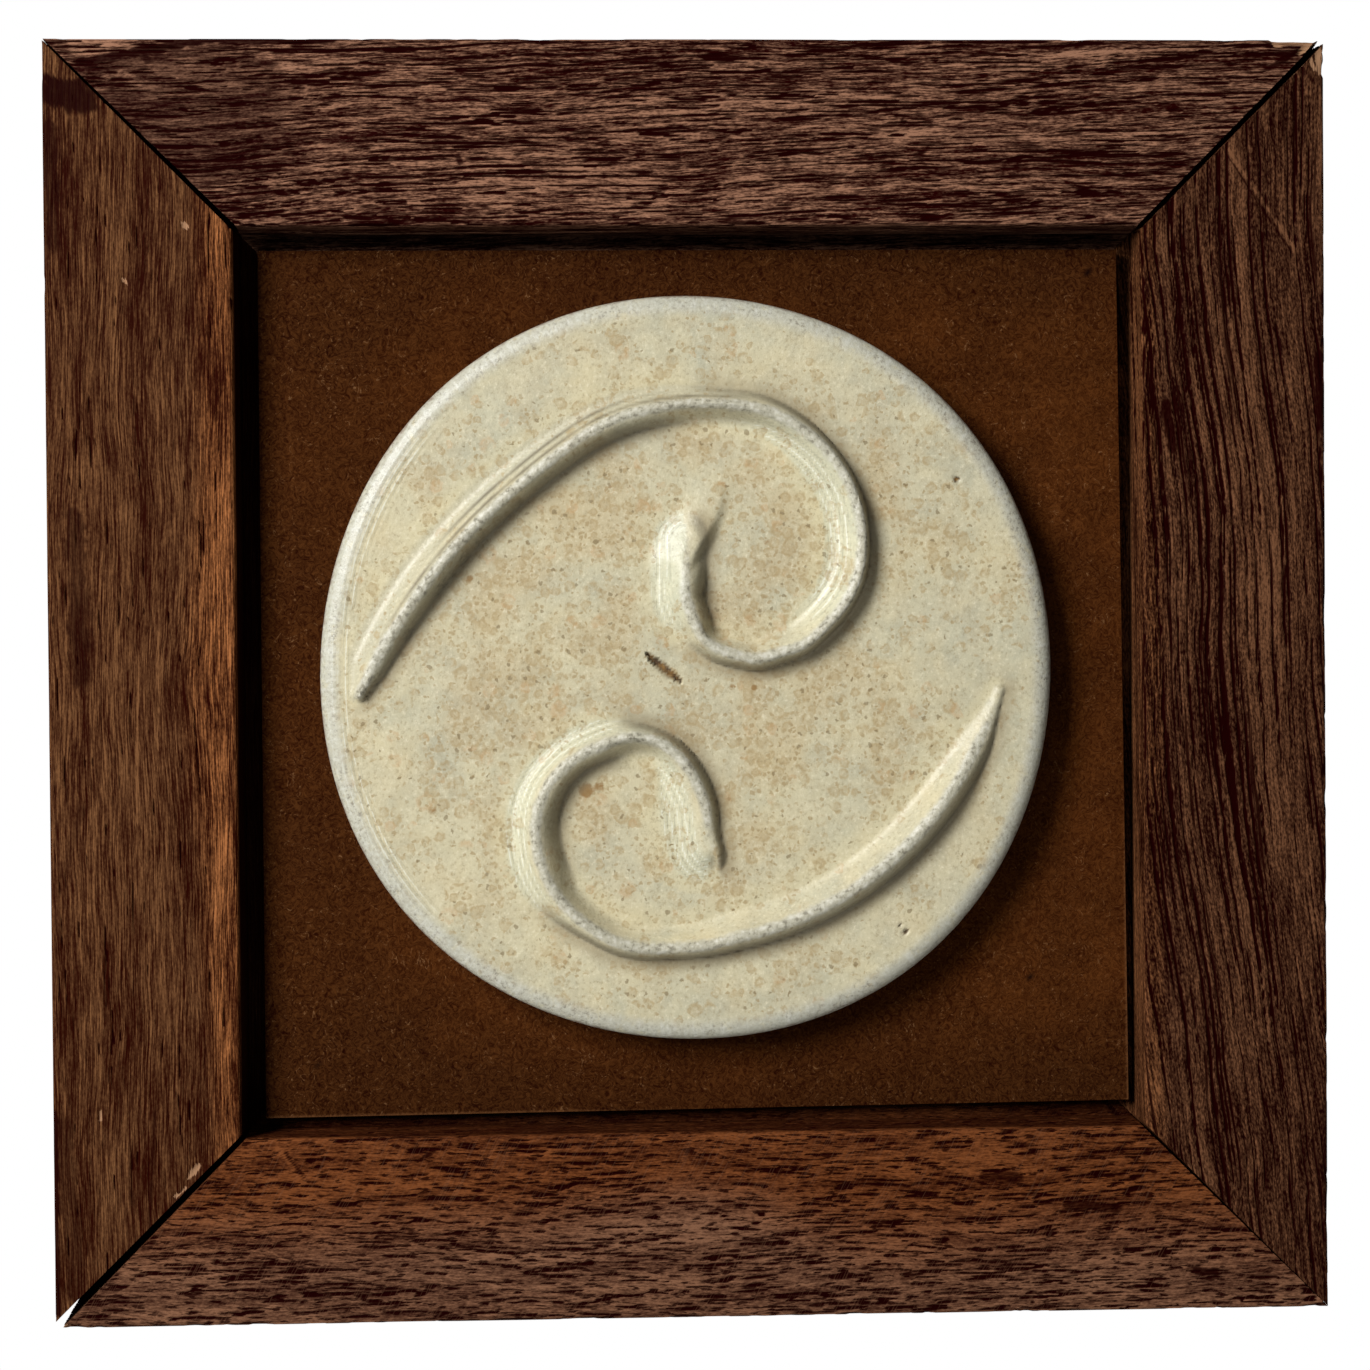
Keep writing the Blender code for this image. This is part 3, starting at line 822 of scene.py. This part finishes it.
# The roundel: a slab of stoneware pressed in a mould, so its outline is a little out of true, with the two
# scrolls raised in one with it. The cream glaze has pooled at their feet, run thin and grey over their
# crests and the rim, and iron has come up through it in rings and specks. It is stuck to the board.
roundel_back_y = -10.6 * MM
roundel_thickness = 6.8 * MM
roundel_radius = 51.6 * MM
roundel_middle = frame_middle + Vector((-0.7 * MM, 0, 1.6 * MM))
rim_round_width = 2.6 * MM
rim_round_depth = 1.9 * MM
foot_chamfer = 0.6 * MM
mid_side = 2.8 * MM
outline_waves = ((2, 0.0084, -88.0), (3, 0.0031, -42.0), (4, 0.0061, 40.0))
relief_height = 3.1 * MM
ridge_sharpness = 1.45
# A flank turns steep where the other one is wider: it begins at the first difference and is full at the
# second. A steep profile bulges at its shoulder by the one power and at its foot by the other.
steep_from = -0.4 * MM
steep_to = 0.9 * MM
steep_shoulder = 2.4
steep_foot = 1.1
tip_rise = 0.16
crest_step = 1.0 * MM
roundel_cells = 292
# A scroll's crest is a chain of arcs from its thin tip, in shares of the radius: (radius, degrees), clockwise
# where positive. It strays from them, and its flanks vary: each run is (share of the length, how far the
# crest lies outside the arcs, outer flank, inner flank), in millimetres.
upper_scroll = {
    "turned": 0.0,
    "tip": (-0.888, -0.056),
    "heading": 66.0,
    "arcs": ((1.50, 35.0), (0.69, 37.0), (0.386, 109.0), (0.246, 153.0), (0.60, 8.0)),
    "runs": (
        (0.00, -0.6, 3.6, 1.9),
        (0.10, -0.8, 4.2, 2.2),
        (0.24, -0.7, 4.2, 2.2),
        (0.36, -0.1, 3.4, 2.5),
        (0.48, -0.6, 2.3, 2.7),
        (0.60, -0.7, 1.4, 4.2),
        (0.70, -0.9, 1.4, 4.6),
        (0.77, -1.7, 1.5, 4.0),
        (0.82, -1.0, 1.6, 3.6),
        (0.86, 0.2, 1.8, 3.0),
        (0.90, 0.9, 2.0, 2.4),
        (0.94, 0.0, 4.6, 2.6),
        (0.97, -0.9, 5.0, 2.9),
        (1.00, -0.9, 4.6, 2.9),
    ),
    "tip_height": 0.55,
    "tip_point": 0.03,
    "end_height": 0.15,
    "end_fall": 0.045,
}
lower_scroll = {
    "turned": 180.0,
    "tip": (-0.864, 0.072),
    "heading": 72.5,
    "arcs": ((1.02, 36.0), (0.88, 40.0), (0.345, 81.0), (0.222, 178.0), (0.60, -8.0)),
    "runs": (
        (0.00, -1.3, 1.6, 3.2),
        (0.10, -1.6, 2.4, 4.0),
        (0.20, -1.6, 2.5, 4.2),
        (0.40, -1.5, 2.2, 4.0),
        (0.47, -0.8, 1.9, 3.4),
        (0.56, 0.0, 2.0, 3.2),
        (0.67, 0.6, 3.8, 3.4),
        (0.80, 0.2, 3.4, 2.4),
        (0.87, 1.4, 1.7, 2.6),
        (0.95, 0.4, 1.8, 6.2),
        (1.00, 0.2, 1.6, 6.0),
    ),
    "tip_height": 0.14,
    "tip_point": 0.07,
    "end_height": 0.50,
    "end_fall": 0.10,
}

# A soft fold that runs on from the head of the upper scroll, as (x, z, share of its length) in millimetres
fold_line = (
    (0.0, 14.5, 0.0),
    (0.7, 16.3, 0.15),
    (2.3, 18.9, 0.4),
    (3.5, 21.2, 0.65),
    (4.3, 24.0, 0.85),
    (4.4, 27.0, 1.0),
)
fold_inner_flank = 2.0 * MM
fold_outer_flank = 6.0 * MM
fold_height = 2.2 * MM
# How sharply raised forms meet: the higher the number, the sharper
merging = 4
# Fine grooves outside the upper scroll's arm: how far from the crest, and from which share to which
groove_lines = ((1.1 * MM, 0.02, 0.54), (2.1 * MM, 0.12, 0.44))
groove_width = 0.24 * MM
groove_depth = 0.26 * MM
crest_width = 0.9 * MM
pit_depth = 0.14 * MM
ring_depth = 0.035 * MM
# A short tear in the glaze from one end to the other
tear_from = np.array((-5.8, 2.2)) * MM
tear_to = np.array((-0.8, -1.9)) * MM
tear_width = 1.2 * MM
tear_depth = 0.7 * MM
# Pinholes and rust spots as (x, z, radius, how strong) from the roundel's middle, in millimetres
pinholes = ((37.5, 26.1, 0.5, 1.0), (30.0, -36.8, 0.45, 1.0), (29.2, -35.9, 0.3, 1.0))
pinhole_depth = 0.35 * MM
rust_spots = (
    (-30.1, 12.8, 0.9, 1.0),
    (6.1, -2.5, 0.9, 0.8),
    (9.2, -2.6, 0.8, 0.9),
    (-14.4, -16.6, 1.7, 1.0),
    (-12.4, -16.3, 1.3, 0.9),
    (21.6, 12.4, 1.1, 0.6),
    (11.0, 17.6, 1.0, 0.6),
    (26.0, 26.5, 1.6, 0.4),
    (-35.6, -19.4, 1.5, 0.5),
    (-27.4, -21.4, 1.4, 0.5),
    (-14.6, 3.0, 1.3, 0.45),
    (-22.0, 6.2, 1.5, 0.4),
)


def between(values, first, full, fading, last):
    """0 outside first and last, 1 from full to fading, with soft steps between them."""
    return eased(values, first, full) * (1 - eased(values, fading, last))


def waves(distance, spacing):
    return np.cos(2 * np.pi * distance / spacing)


def outline_radius(angle):
    """How far the disc reaches at an angle. A wave is (how many round it, how high, where its crest is)."""
    bulge = sum(high * np.cos(count * (angle - math.radians(crest))) for count, high, crest in outline_waves)
    return roundel_radius * (1 + bulge)


def run_value(scroll, share, column):
    """A scroll's crest shift, outer or inner flank (columns 1 to 3) at shares of its length."""
    runs = np.array(scroll["runs"])
    index = np.clip(np.searchsorted(runs[:, 0], share) - 1, 0, len(runs) - 2)
    part = eased(share, runs[index, 0], runs[index + 1, 0])
    return (runs[index, column] + (runs[index + 1, column] - runs[index, column]) * part) * MM


def crest_of(scroll):
    """Points along a scroll's crest from its tip, each as (x, z, share of the length)."""
    place = Vector(scroll["tip"]) * roundel_radius
    heading = math.radians(scroll["heading"])
    length = sum(radius * roundel_radius * math.radians(abs(sweep)) for radius, sweep in scroll["arcs"])
    walked = 0.0
    points = [(*place, 0.0, heading)]
    for radius, sweep in scroll["arcs"]:
        arc = radius * roundel_radius * math.radians(abs(sweep))
        steps = max(2, round(arc / crest_step))
        bend = -math.radians(sweep) / steps
        for _ in range(steps):
            place += Vector((math.cos(heading + bend / 2), math.sin(heading + bend / 2))) * (arc / steps)
            heading += bend
            walked += arc / steps
            points.append((*place, walked / length, heading))
    points = np.array(points)
    strayed = run_value(scroll, points[:, 2], 1)
    points[:, 0] -= np.sin(points[:, 3]) * strayed
    points[:, 1] += np.cos(points[:, 3]) * strayed
    turn = math.radians(scroll["turned"])
    x, z = points[:, 0].copy(), points[:, 1].copy()
    points[:, 0] = x * math.cos(turn) - z * math.sin(turn)
    points[:, 1] = x * math.sin(turn) + z * math.cos(turn)
    return points[:, :3]


def ridge(scroll, x, z):
    """One scroll over a field of places: its height, how far across its flank, the share of its length, the
    side, the distance from its crest and how steep that flank is."""
    distance, share, side = nearest(crest_of(scroll), x, z)
    outer, inner = run_value(scroll, share, 2), run_value(scroll, share, 3)
    pointed = 0.45 + 0.55 * eased(share, 0, scroll["tip_point"])
    flank = (inner + (outer - inner) * (1 + side) / 2) * pointed
    other_flank = (outer + (inner - outer) * (1 + side) / 2) * pointed
    tip = scroll["tip_height"] + (1 - scroll["tip_height"]) * eased(share, 0, tip_rise)
    end = scroll["end_height"] + (1 - scroll["end_height"]) * eased(1 - share, 0, scroll["end_fall"])
    steep = eased(other_flank - flank, steep_from, steep_to)
    across = distance / flank
    inside = np.minimum(across, 1)
    soft_side = (0.5 + 0.5 * np.cos(np.pi * inside)) ** ridge_sharpness
    steep_side = (1 - inside**steep_shoulder) ** steep_foot
    profile = soft_side + (steep_side - soft_side) * steep
    return relief_height * tip * end * profile, across, share, side, distance, steep


roundel = upright_grid("glazed_roundel", roundel_cells)
flat = places_of(roundel)
square_x, square_z = flat[:, 0], flat[:, 2]
disc_x = square_x * np.sqrt(1 - square_z**2 / 2)
disc_z = square_z * np.sqrt(1 - square_x**2 / 2)
angle = np.arctan2(disc_z, disc_x)
outline = outline_radius(angle)
rim_arc = math.pi / 2 * math.sqrt((rim_round_width**2 + rim_round_depth**2) / 2)
walked = np.hypot(disc_x, disc_z) * (outline - rim_round_width + rim_arc)
over_rim = np.clip((walked - outline + rim_round_width) / rim_arc, 0, 1) * math.pi / 2
reach = np.where(over_rim > 0, outline - rim_round_width * (1 - np.sin(over_rim)), walked)
x, z = reach * np.cos(angle), reach * np.sin(angle)
inset = outline - reach

# The relief, on the disc's own x and z
upper, upper_across, upper_share, upper_side, upper_distance, upper_steep = ridge(upper_scroll, x, z)
lower, lower_across, lower_share, lower_side, lower_distance, lower_steep = ridge(lower_scroll, x, z)
on_upper = upper_across < lower_across
across = np.minimum(upper_across, lower_across)
share = np.where(on_upper, upper_share, lower_share)
steep = np.where(on_upper, upper_steep, lower_steep)
from_crest = np.where(on_upper, upper_distance, lower_distance)
from_foot = from_crest * (1 - 1 / np.maximum(across, 0.01))
fold_distance, fold_share, fold_side = nearest(np.array(fold_line) * (MM, MM, 1), x, z)
fold_flank = fold_inner_flank + (fold_outer_flank - fold_inner_flank) * (1 + fold_side) / 2
fold_across = np.minimum(fold_distance / fold_flank, 1)
fold = fold_height * (1 - fold_share) * (0.5 + 0.5 * np.cos(np.pi * fold_across))
relief = (upper**merging + lower**merging + fold**merging) ** (1 / merging)
undulation = cloudy(x, z, 14 * MM, 61) * 0.14 * MM + cloudy(x, z, 4 * MM, 62) * 0.05 * MM

# The crests and their steep sides, where the glaze has worn thin and pitted, and the arm's grooves. The
# grooves and the steep sides are darkened with painted shade.
crest_mask = np.exp(-((from_crest / crest_width) ** 2)) * (1 - eased(across, 0.8, 1.0))
crest_mask *= np.where(on_upper, 1, 0.3 + 0.7 * eased(share, 0, 0.07))
crest_mask *= 0.4 + 0.6 * eased(1 - share, 0, 0.06)
steep_mask = steep * between(across, 0.4, 0.75, 0.95, 1.15)
worn = np.maximum(crest_mask, steep_mask)
tail = on_upper * (1 - eased(share, 0.16, 0.3))
pits = eased(cloudy(x, z, 0.8 * MM, 63), 0.5, 0.95) * worn * (0.35 + 0.9 * cloudy(x, z, 5 * MM, 69)) * 0.8
pits += eased(cloudy(x, z, 1.3 * MM, 64), 0.35, 0.85) * worn * tail * 0.9
grooves = np.zeros(len(x))
for out_from_crest, first, last in groove_lines:
    run = between(upper_share, first, first + 0.1, last - 0.12, last)
    run *= 0.55 + 0.6 * cloudy(x, z, 2.5 * MM, 68)
    grooves += (upper_side > 0.5) * run * np.exp(-(((upper_distance - out_from_crest) / groove_width) ** 2))

# Slopes that the glaze has run down in fine rings, and those at the rim's left. The slopes that face the
# window get painted sheen through the pale mark, and the rings there and at the rim's left get painted glints
# on their tops and painted shade in their hollows.
inner_slope = (upper_side < -0.5) * between(upper_share, 0.42, 0.55, 0.74, 0.84)
outer_slope = (lower_side > 0.5) * between(lower_share, 0.56, 0.66, 0.82, 0.87)
outer_slope *= between(lower_across, 0.2, 0.4, 1.0, 1.3)
head_slope = (upper_side > 0.2) * eased(upper_share, 0.9, 0.94) * (1 - eased(upper_across, 0.9, 1.1))
hook_slope = (lower_side < -0.4) * eased(lower_share, 0.85, 0.91) * between(lower_across, 0.2, 0.4, 0.9, 1.2)
left_rim = eased(-np.cos(angle), 0.6, 0.85) * (1 - eased(inset, 3 * MM, 6 * MM))
rings = waves(upper_distance, 1.0 * MM) * inner_slope * between(upper_across, 0.2, 0.4, 0.9, 1.2)
rings += waves(lower_distance, 0.8 * MM) * outer_slope
rings += waves(upper_distance, 0.9 * MM) * head_slope * eased(upper_across, 0.25, 0.5)
rings += waves(lower_distance, 1.0 * MM) * hook_slope
rings += waves(inset, 0.9 * MM) * left_rim

# The tear and the pinholes
run_x, run_z = tear_to - tear_from
tear_length = math.hypot(run_x, run_z)
from_x, from_z = x - tear_from[0], z - tear_from[1]
along_tear = (from_x * run_x + from_z * run_z) / tear_length**2
off_tear = np.abs(from_x * run_z - from_z * run_x) / tear_length
tear_reach = tear_width / 2 * np.sin(np.pi * np.clip(along_tear, 0, 1)) ** 0.6
tear_reach *= 0.75 + 0.5 * cloudy(x, z, 0.6 * MM, 65)
tear = (1 - eased(off_tear / np.maximum(tear_reach, 0.05 * MM), 0.7, 1.3)) * (np.abs(along_tear - 0.5) < 0.5)
holes = spotted(x, z, pinholes, 0.4, 1.2)

height = relief - rim_round_depth * (1 - np.cos(over_rim)) - undulation
height -= grooves * groove_depth + np.minimum(pits, 1.2) * pit_depth + (1 - rings) * ring_depth
height -= tear * tear_depth + holes * pinhole_depth
face_y = roundel_back_y - roundel_thickness
place_all(roundel, np.stack((roundel_middle.x + x, face_y - height, roundel_middle.z + z), axis=1))

# What the glaze reads
iron = 0.22 + 0.40 * eased(inset, 2 * MM, 22 * MM) + 0.3 * (cloudy(x, z, 13 * MM, 66) - 0.5)
iron += 0.10 * np.clip(-x / roundel_radius, -1, 1) - 0.45 * np.exp(-((across / 0.9) ** 2))
iron += 0.9 * (cloudy(x, z, 4.5 * MM, 67) - 0.5)
arm_slope = (upper_side > 0.3) * between(upper_across, 0.25, 0.5, 0.9, 1.2)
arm_slope *= 1 - eased(upper_share, 0.4, 0.6)
# Slopes that face the window, painted paler as sheen
slopes_with_sheen = head_slope + inner_slope * (upper_across < 1.1) + outer_slope + hook_slope
round_the_rim = (np.cos(angle) * roundel_radius, np.sin(angle) * roundel_radius, inset / 4)
glaze_marks = {
    "crest": crest_mask,
    "rim": 1 - eased(inset, 1.4 * MM, 3.4 * MM),
    "pool": between(across, 0.55, 0.9, 1.1, 2.0) * (1 - steep),
    "iron": iron,
    # Painted shade in the arm's grooves and on the steep flanks
    "groove_and_flank_shade": np.maximum(grooves * 1.2, steep_mask * 0.85),
    # Darkening beyond the feet of the steep flanks: partly a brownish glaze stain, partly painted shade cast
    # by the flank
    "foot_stain_and_shade": steep * eased(across, 0.8, 1.0) * (1 - eased(from_foot, 0.3 * MM, 2.6 * MM)),
    # Painted sheen on the slopes that face the window
    "pale": np.clip(slopes_with_sheen, 0, 1),
    "contour": rings,
    "arm slope": arm_slope,
    "rust": spotted(x, z, rust_spots, 0.2, 1.1),
    "round the rim": np.stack(round_the_rim, axis=1),
    "pit": np.maximum(pits * 0.8, holes * 1.5),
    "tear": np.maximum(tear, eased(holes, 0.35, 0.8)),
}
for name, values in glaze_marks.items():
    paint(roundel, name, values)
draw_back(
    roundel,
    (
        ((roundel_middle.x, roundel_back_y - mid_side, roundel_middle.z), 1.0),
        ((roundel_middle.x, roundel_back_y - foot_chamfer, roundel_middle.z), 1.0),
        ((roundel_middle.x, roundel_back_y, roundel_middle.z), 1 - foot_chamfer / roundel_radius),
    ),
)


def iron_spots(tree, place, cell, smallest, spread, rarity, hollow):
    """Spots of iron in the glaze, one to a cell at most: rings where hollow, else dots. 0 to 1."""
    cells = node(tree, "TexVoronoi", {"Vector": place, "Scale": 1 / cell}, voronoi_dimensions="2D").outputs
    chance = node(tree, "SeparateColor", {"Color": cells["Color"]}).outputs
    radius = raised(tree, smallest, chance["Red"], spread)
    inside = worked(tree, "DIVIDE", cells["Distance"], radius)
    spot = difference(tree, 1.0, stepped(tree, inside, 0.75, 1.1))
    if hollow:
        off_ring = worked(tree, "ABSOLUTE", difference(tree, inside, 1.0))
        ring = difference(tree, 1.0, stepped(tree, off_ring, 0.05, 0.7))
        spot = worked(tree, "MAXIMUM", ring, product(tree, spot, 0.6))
    wanted = product(tree, painted(tree, "iron"), rarity)
    return product(tree, spot, worked(tree, "LESS_THAN", chance["Green"], wanted))


def glaze_finish():
    made, tree, shader = new_finish("cream glaze")
    place = node(tree, "TexCoord").outputs["Object"]

    def clouds(size, offset):
        return mottled(tree, vector_worked(tree, "ADD", place, (offset,) * 3), size)

    def grit(size, detail):
        return noise(tree, place, 1 / size, detail, 0.65)

    def times(first, second):
        return product(tree, first, second)

    def step(value, low, high):
        return stepped(tree, value, low, high)

    fine, breaks = grit(0.5 * MM, 3.0)["Fac"], grit(1.4 * MM, 4.0)["Fac"]
    clumps = grit(0.85 * MM, 2.5)["Fac"]
    contour = painted(tree, "contour")
    # The rings' tops take painted glints and their hollows painted shade
    ring_top_glints = raised(tree, difference(tree, contour, 0.4), breaks, 0.8)
    ring_hollow_shade = raised(tree, difference(tree, -0.4, contour), breaks, 0.8)

    # Iron spots lie in the face's own plane, a little out of round
    shaking = vector_worked(tree, "SUBTRACT", grit(0.9 * MM, 2.0)["Color"], (0.5, 0.5, 0.5))
    shaken = vector_worked(tree, "ADD", place, vector_worked(tree, "MULTIPLY", shaking, (1.1 * MM,) * 3))
    apart = node(tree, "SeparateXYZ", {"Vector": shaken}).outputs
    on_face = node(tree, "CombineXYZ", {"X": apart["X"], "Y": apart["Z"]}).outputs[0]
    broken = step(breaks, 0.35, 0.6)
    rings = iron_spots(tree, on_face, 2.0 * MM, 0.16, 0.24, 1.35, True)
    dots = iron_spots(tree, on_face, 0.9 * MM, 0.14, 0.22, 1.0, False)
    dark_dots = iron_spots(tree, on_face, 1.9 * MM, 0.06, 0.12, 0.45, False)
    orange_rings = iron_spots(tree, on_face, 3.1 * MM, 0.08, 0.2, 0.4, True)
    rust = raised(tree, raised(tree, painted(tree, "rust"), fine, 0.7), breaks, 1.3)

    # Wear at the rim, at its outer edge and on the crests
    rim = painted(tree, "rim")
    rim_walk = painted(tree, "round the rim", "Vector")
    combed = noise(tree, rim_walk, 1 / (0.8 * MM), 3.0)["Fac"]
    rubbed = times(step(fine, 0.5, 0.3), clouds(6 * MM, 1.1))
    from_edge = times(node(tree, "SeparateXYZ", {"Vector": rim_walk}).outputs["Z"], 4.0)
    edge_wear = worked(tree, "DIVIDE", from_edge, 1.4 * MM)
    edge_wear = difference(tree, raised(tree, -0.1, breaks, 1.2), edge_wear)
    crest = step(raised(tree, painted(tree, "crest"), breaks, 0.7), 0.55, 1.15)
    chipped = times(crest, step(clumps, 0.48, 0.32))
    pitted = raised(tree, chipped, step(painted(tree, "pit"), 0.15, 0.9), step(fine, 0.7, 0.3))
    pitted = worked(tree, "MINIMUM", pitted, 1.0)

    # From the bottom up: where each colour lies, how strongly, and its red, green and blue on the screen
    layers = (
        (clouds(5 * MM, 0.3), 0.4, 184, 166, 130),
        (clouds(6 * MM, 2.1), 0.4, 174, 174, 154),
        (clouds(3 * MM, 0.7), 0.45, 208, 199, 166),
        (step(painted(tree, "iron"), 0.4, 0.9), 0.4, 180, 160, 122),
        (painted(tree, "pool"), 0.4, 208, 197, 158),
        # Painted sheen on the slopes that face the window
        (painted(tree, "pale"), 0.45, 192, 196, 174),
        (painted(tree, "arm slope"), 0.5, 166, 163, 143),
        # Painted glints on the rings' tops and painted shade in their hollows
        (step(ring_top_glints, 0.3, 0.9), 0.7, 222, 223, 208),
        (step(ring_hollow_shade, 0.3, 0.9), 0.5, 146, 144, 124),
        (step(fine, 0.52, 0.78), 0.6, 222, 214, 186),
        (step(fine, 0.48, 0.25), 0.6, 146, 132, 102),
        (times(rings, broken), 0.6, 158, 134, 90),
        (times(dots, step(breaks, 0.65, 0.4)), 0.6, 148, 124, 82),
        (dark_dots, 0.6, 112, 94, 60),
        (times(orange_rings, broken), 0.4, 180, 142, 96),
        (step(rust, 1.4, 1.85), 0.8, 136, 102, 54),
        # Partly stain and partly painted shade beyond the steep flanks' feet
        (painted(tree, "foot_stain_and_shade"), 0.6, 140, 126, 98),
        (times(rim, step(breaks, 0.2, 0.5)), 0.8, 176, 175, 161),
        (times(rim, step(combed, 0.5, 0.72)), 0.35, 208, 208, 198),
        (times(rim, step(fine, 0.5, 0.7)), 0.35, 206, 206, 194),
        (times(rim, rubbed), 0.85, 112, 104, 92),
        (step(edge_wear, 0.2, 0.6), 0.7, 128, 108, 92),
        (crest, 0.8, 170, 167, 150),
        (times(crest, step(clumps, 0.47, 0.68)), 0.7, 206, 203, 188),
        (pitted, 0.7, 108, 102, 86),
        # Painted shade in the grooves and on the steep flanks
        (painted(tree, "groove_and_flank_shade"), 0.75, 108, 100, 82),
    )
    colour = mixed(tree, clouds(11 * MM, 0.0), screen_colour(170, 168, 146), screen_colour(199, 187, 149))
    for where, strength, *screen in layers:
        colour = tinted(tree, colour, where, strength, *screen)
    torn = mixed(tree, step(breaks, 0.4, 0.6), screen_colour(66, 46, 22), screen_colour(128, 96, 50))
    colour = mixed(tree, painted(tree, "tear"), colour, torn)

    rough = raised(tree, raised(tree, 0.27, pitted, 0.3), breaks, 0.25)
    rough = raised(tree, rough, painted(tree, "tear"), 0.4)
    uneven = raised(tree, fine, times(fine, painted(tree, "crest")), 1.2)
    uneven = raised(tree, uneven, breaks, 1.5)
    tree.links.new(colour, shader.inputs["Base Color"])
    tree.links.new(rough, shader.inputs["Roughness"])
    bumped(tree, shader, uneven, 0.05 * MM)
    shader.inputs["Specular IOR Level"].default_value = 0.4
    return made


roundel.data.materials.append(glaze_finish())
bpy.ops.object.shade_smooth_by_angle(angle=math.radians(50))
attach(roundel, "root")
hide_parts("ceramic_roundel")

# The room: a pale floor far below, a window's worth of soft light from the upper left, a weak fill and the
# camera square in front.
bpy.ops.object.select_all(action="DESELECT")
bpy.ops.mesh.primitive_plane_add(size=1.6, location=(0, -0.2, -0.6))
floor = bpy.context.object
floor.name = "floor"
floor_finish, _, floor_shader = new_finish("pale floor")
floor_shader.inputs["Base Color"].default_value = (0.8, 0.8, 0.79, 1)
floor_shader.inputs["Roughness"].default_value = 0.9
floor.data.materials.append(floor_finish)

window_way = Vector((-0.88, -1.0, 0.57)).normalized()
bpy.ops.object.light_add(type="AREA", location=frame_middle + window_way * 1.1)
window = bpy.context.object
window.name = "window"
window.data.shape = "RECTANGLE"
window.data.size = 0.4
window.data.size_y = 0.55
window.data.energy = 17.5
window.rotation_euler = window_way.to_track_quat("Z", "Y").to_euler()

world = bpy.data.worlds.new("room")
bpy.context.scene.world = world
world.use_nodes = True
tree = world.node_tree
surround = tree.nodes["Background"]
surround.inputs["Color"].default_value = (1, 1, 1, 1)
surround.inputs["Strength"].default_value = 0.10
backdrop = node(tree, "Background", {"Color": (1, 1, 1, 1), "Strength": 1.0})
seen = node(tree, "LightPath").outputs["Is Camera Ray"]
either = node(tree, "MixShader", {0: seen, 1: surround.outputs[0], 2: backdrop.outputs[0]})
tree.links.new(either.outputs[0], tree.nodes["World Output"].inputs["Surface"])

camera_data = bpy.data.cameras.new("camera")
camera_data.lens = 67
camera_data.sensor_width = 36
camera_data.clip_start = 0.01
camera = bpy.data.objects.new("camera", camera_data)
bpy.context.collection.objects.link(camera)
camera_turn = (
    Matrix.Rotation(math.pi / 2, 4, "X")
    @ Matrix.Rotation(math.radians(-0.44), 4, "Z")
    @ Matrix.Rotation(math.radians(-2.15), 4, "Y")
    @ Matrix.Rotation(math.radians(-0.81), 4, "X")
)
camera.matrix_world = Matrix.Translation((-14.4 * MM, -370.3 * MM, -71.55 * MM)) @ camera_turn
bpy.context.scene.camera = camera
bpy.context.scene.view_settings.view_transform = "Standard"
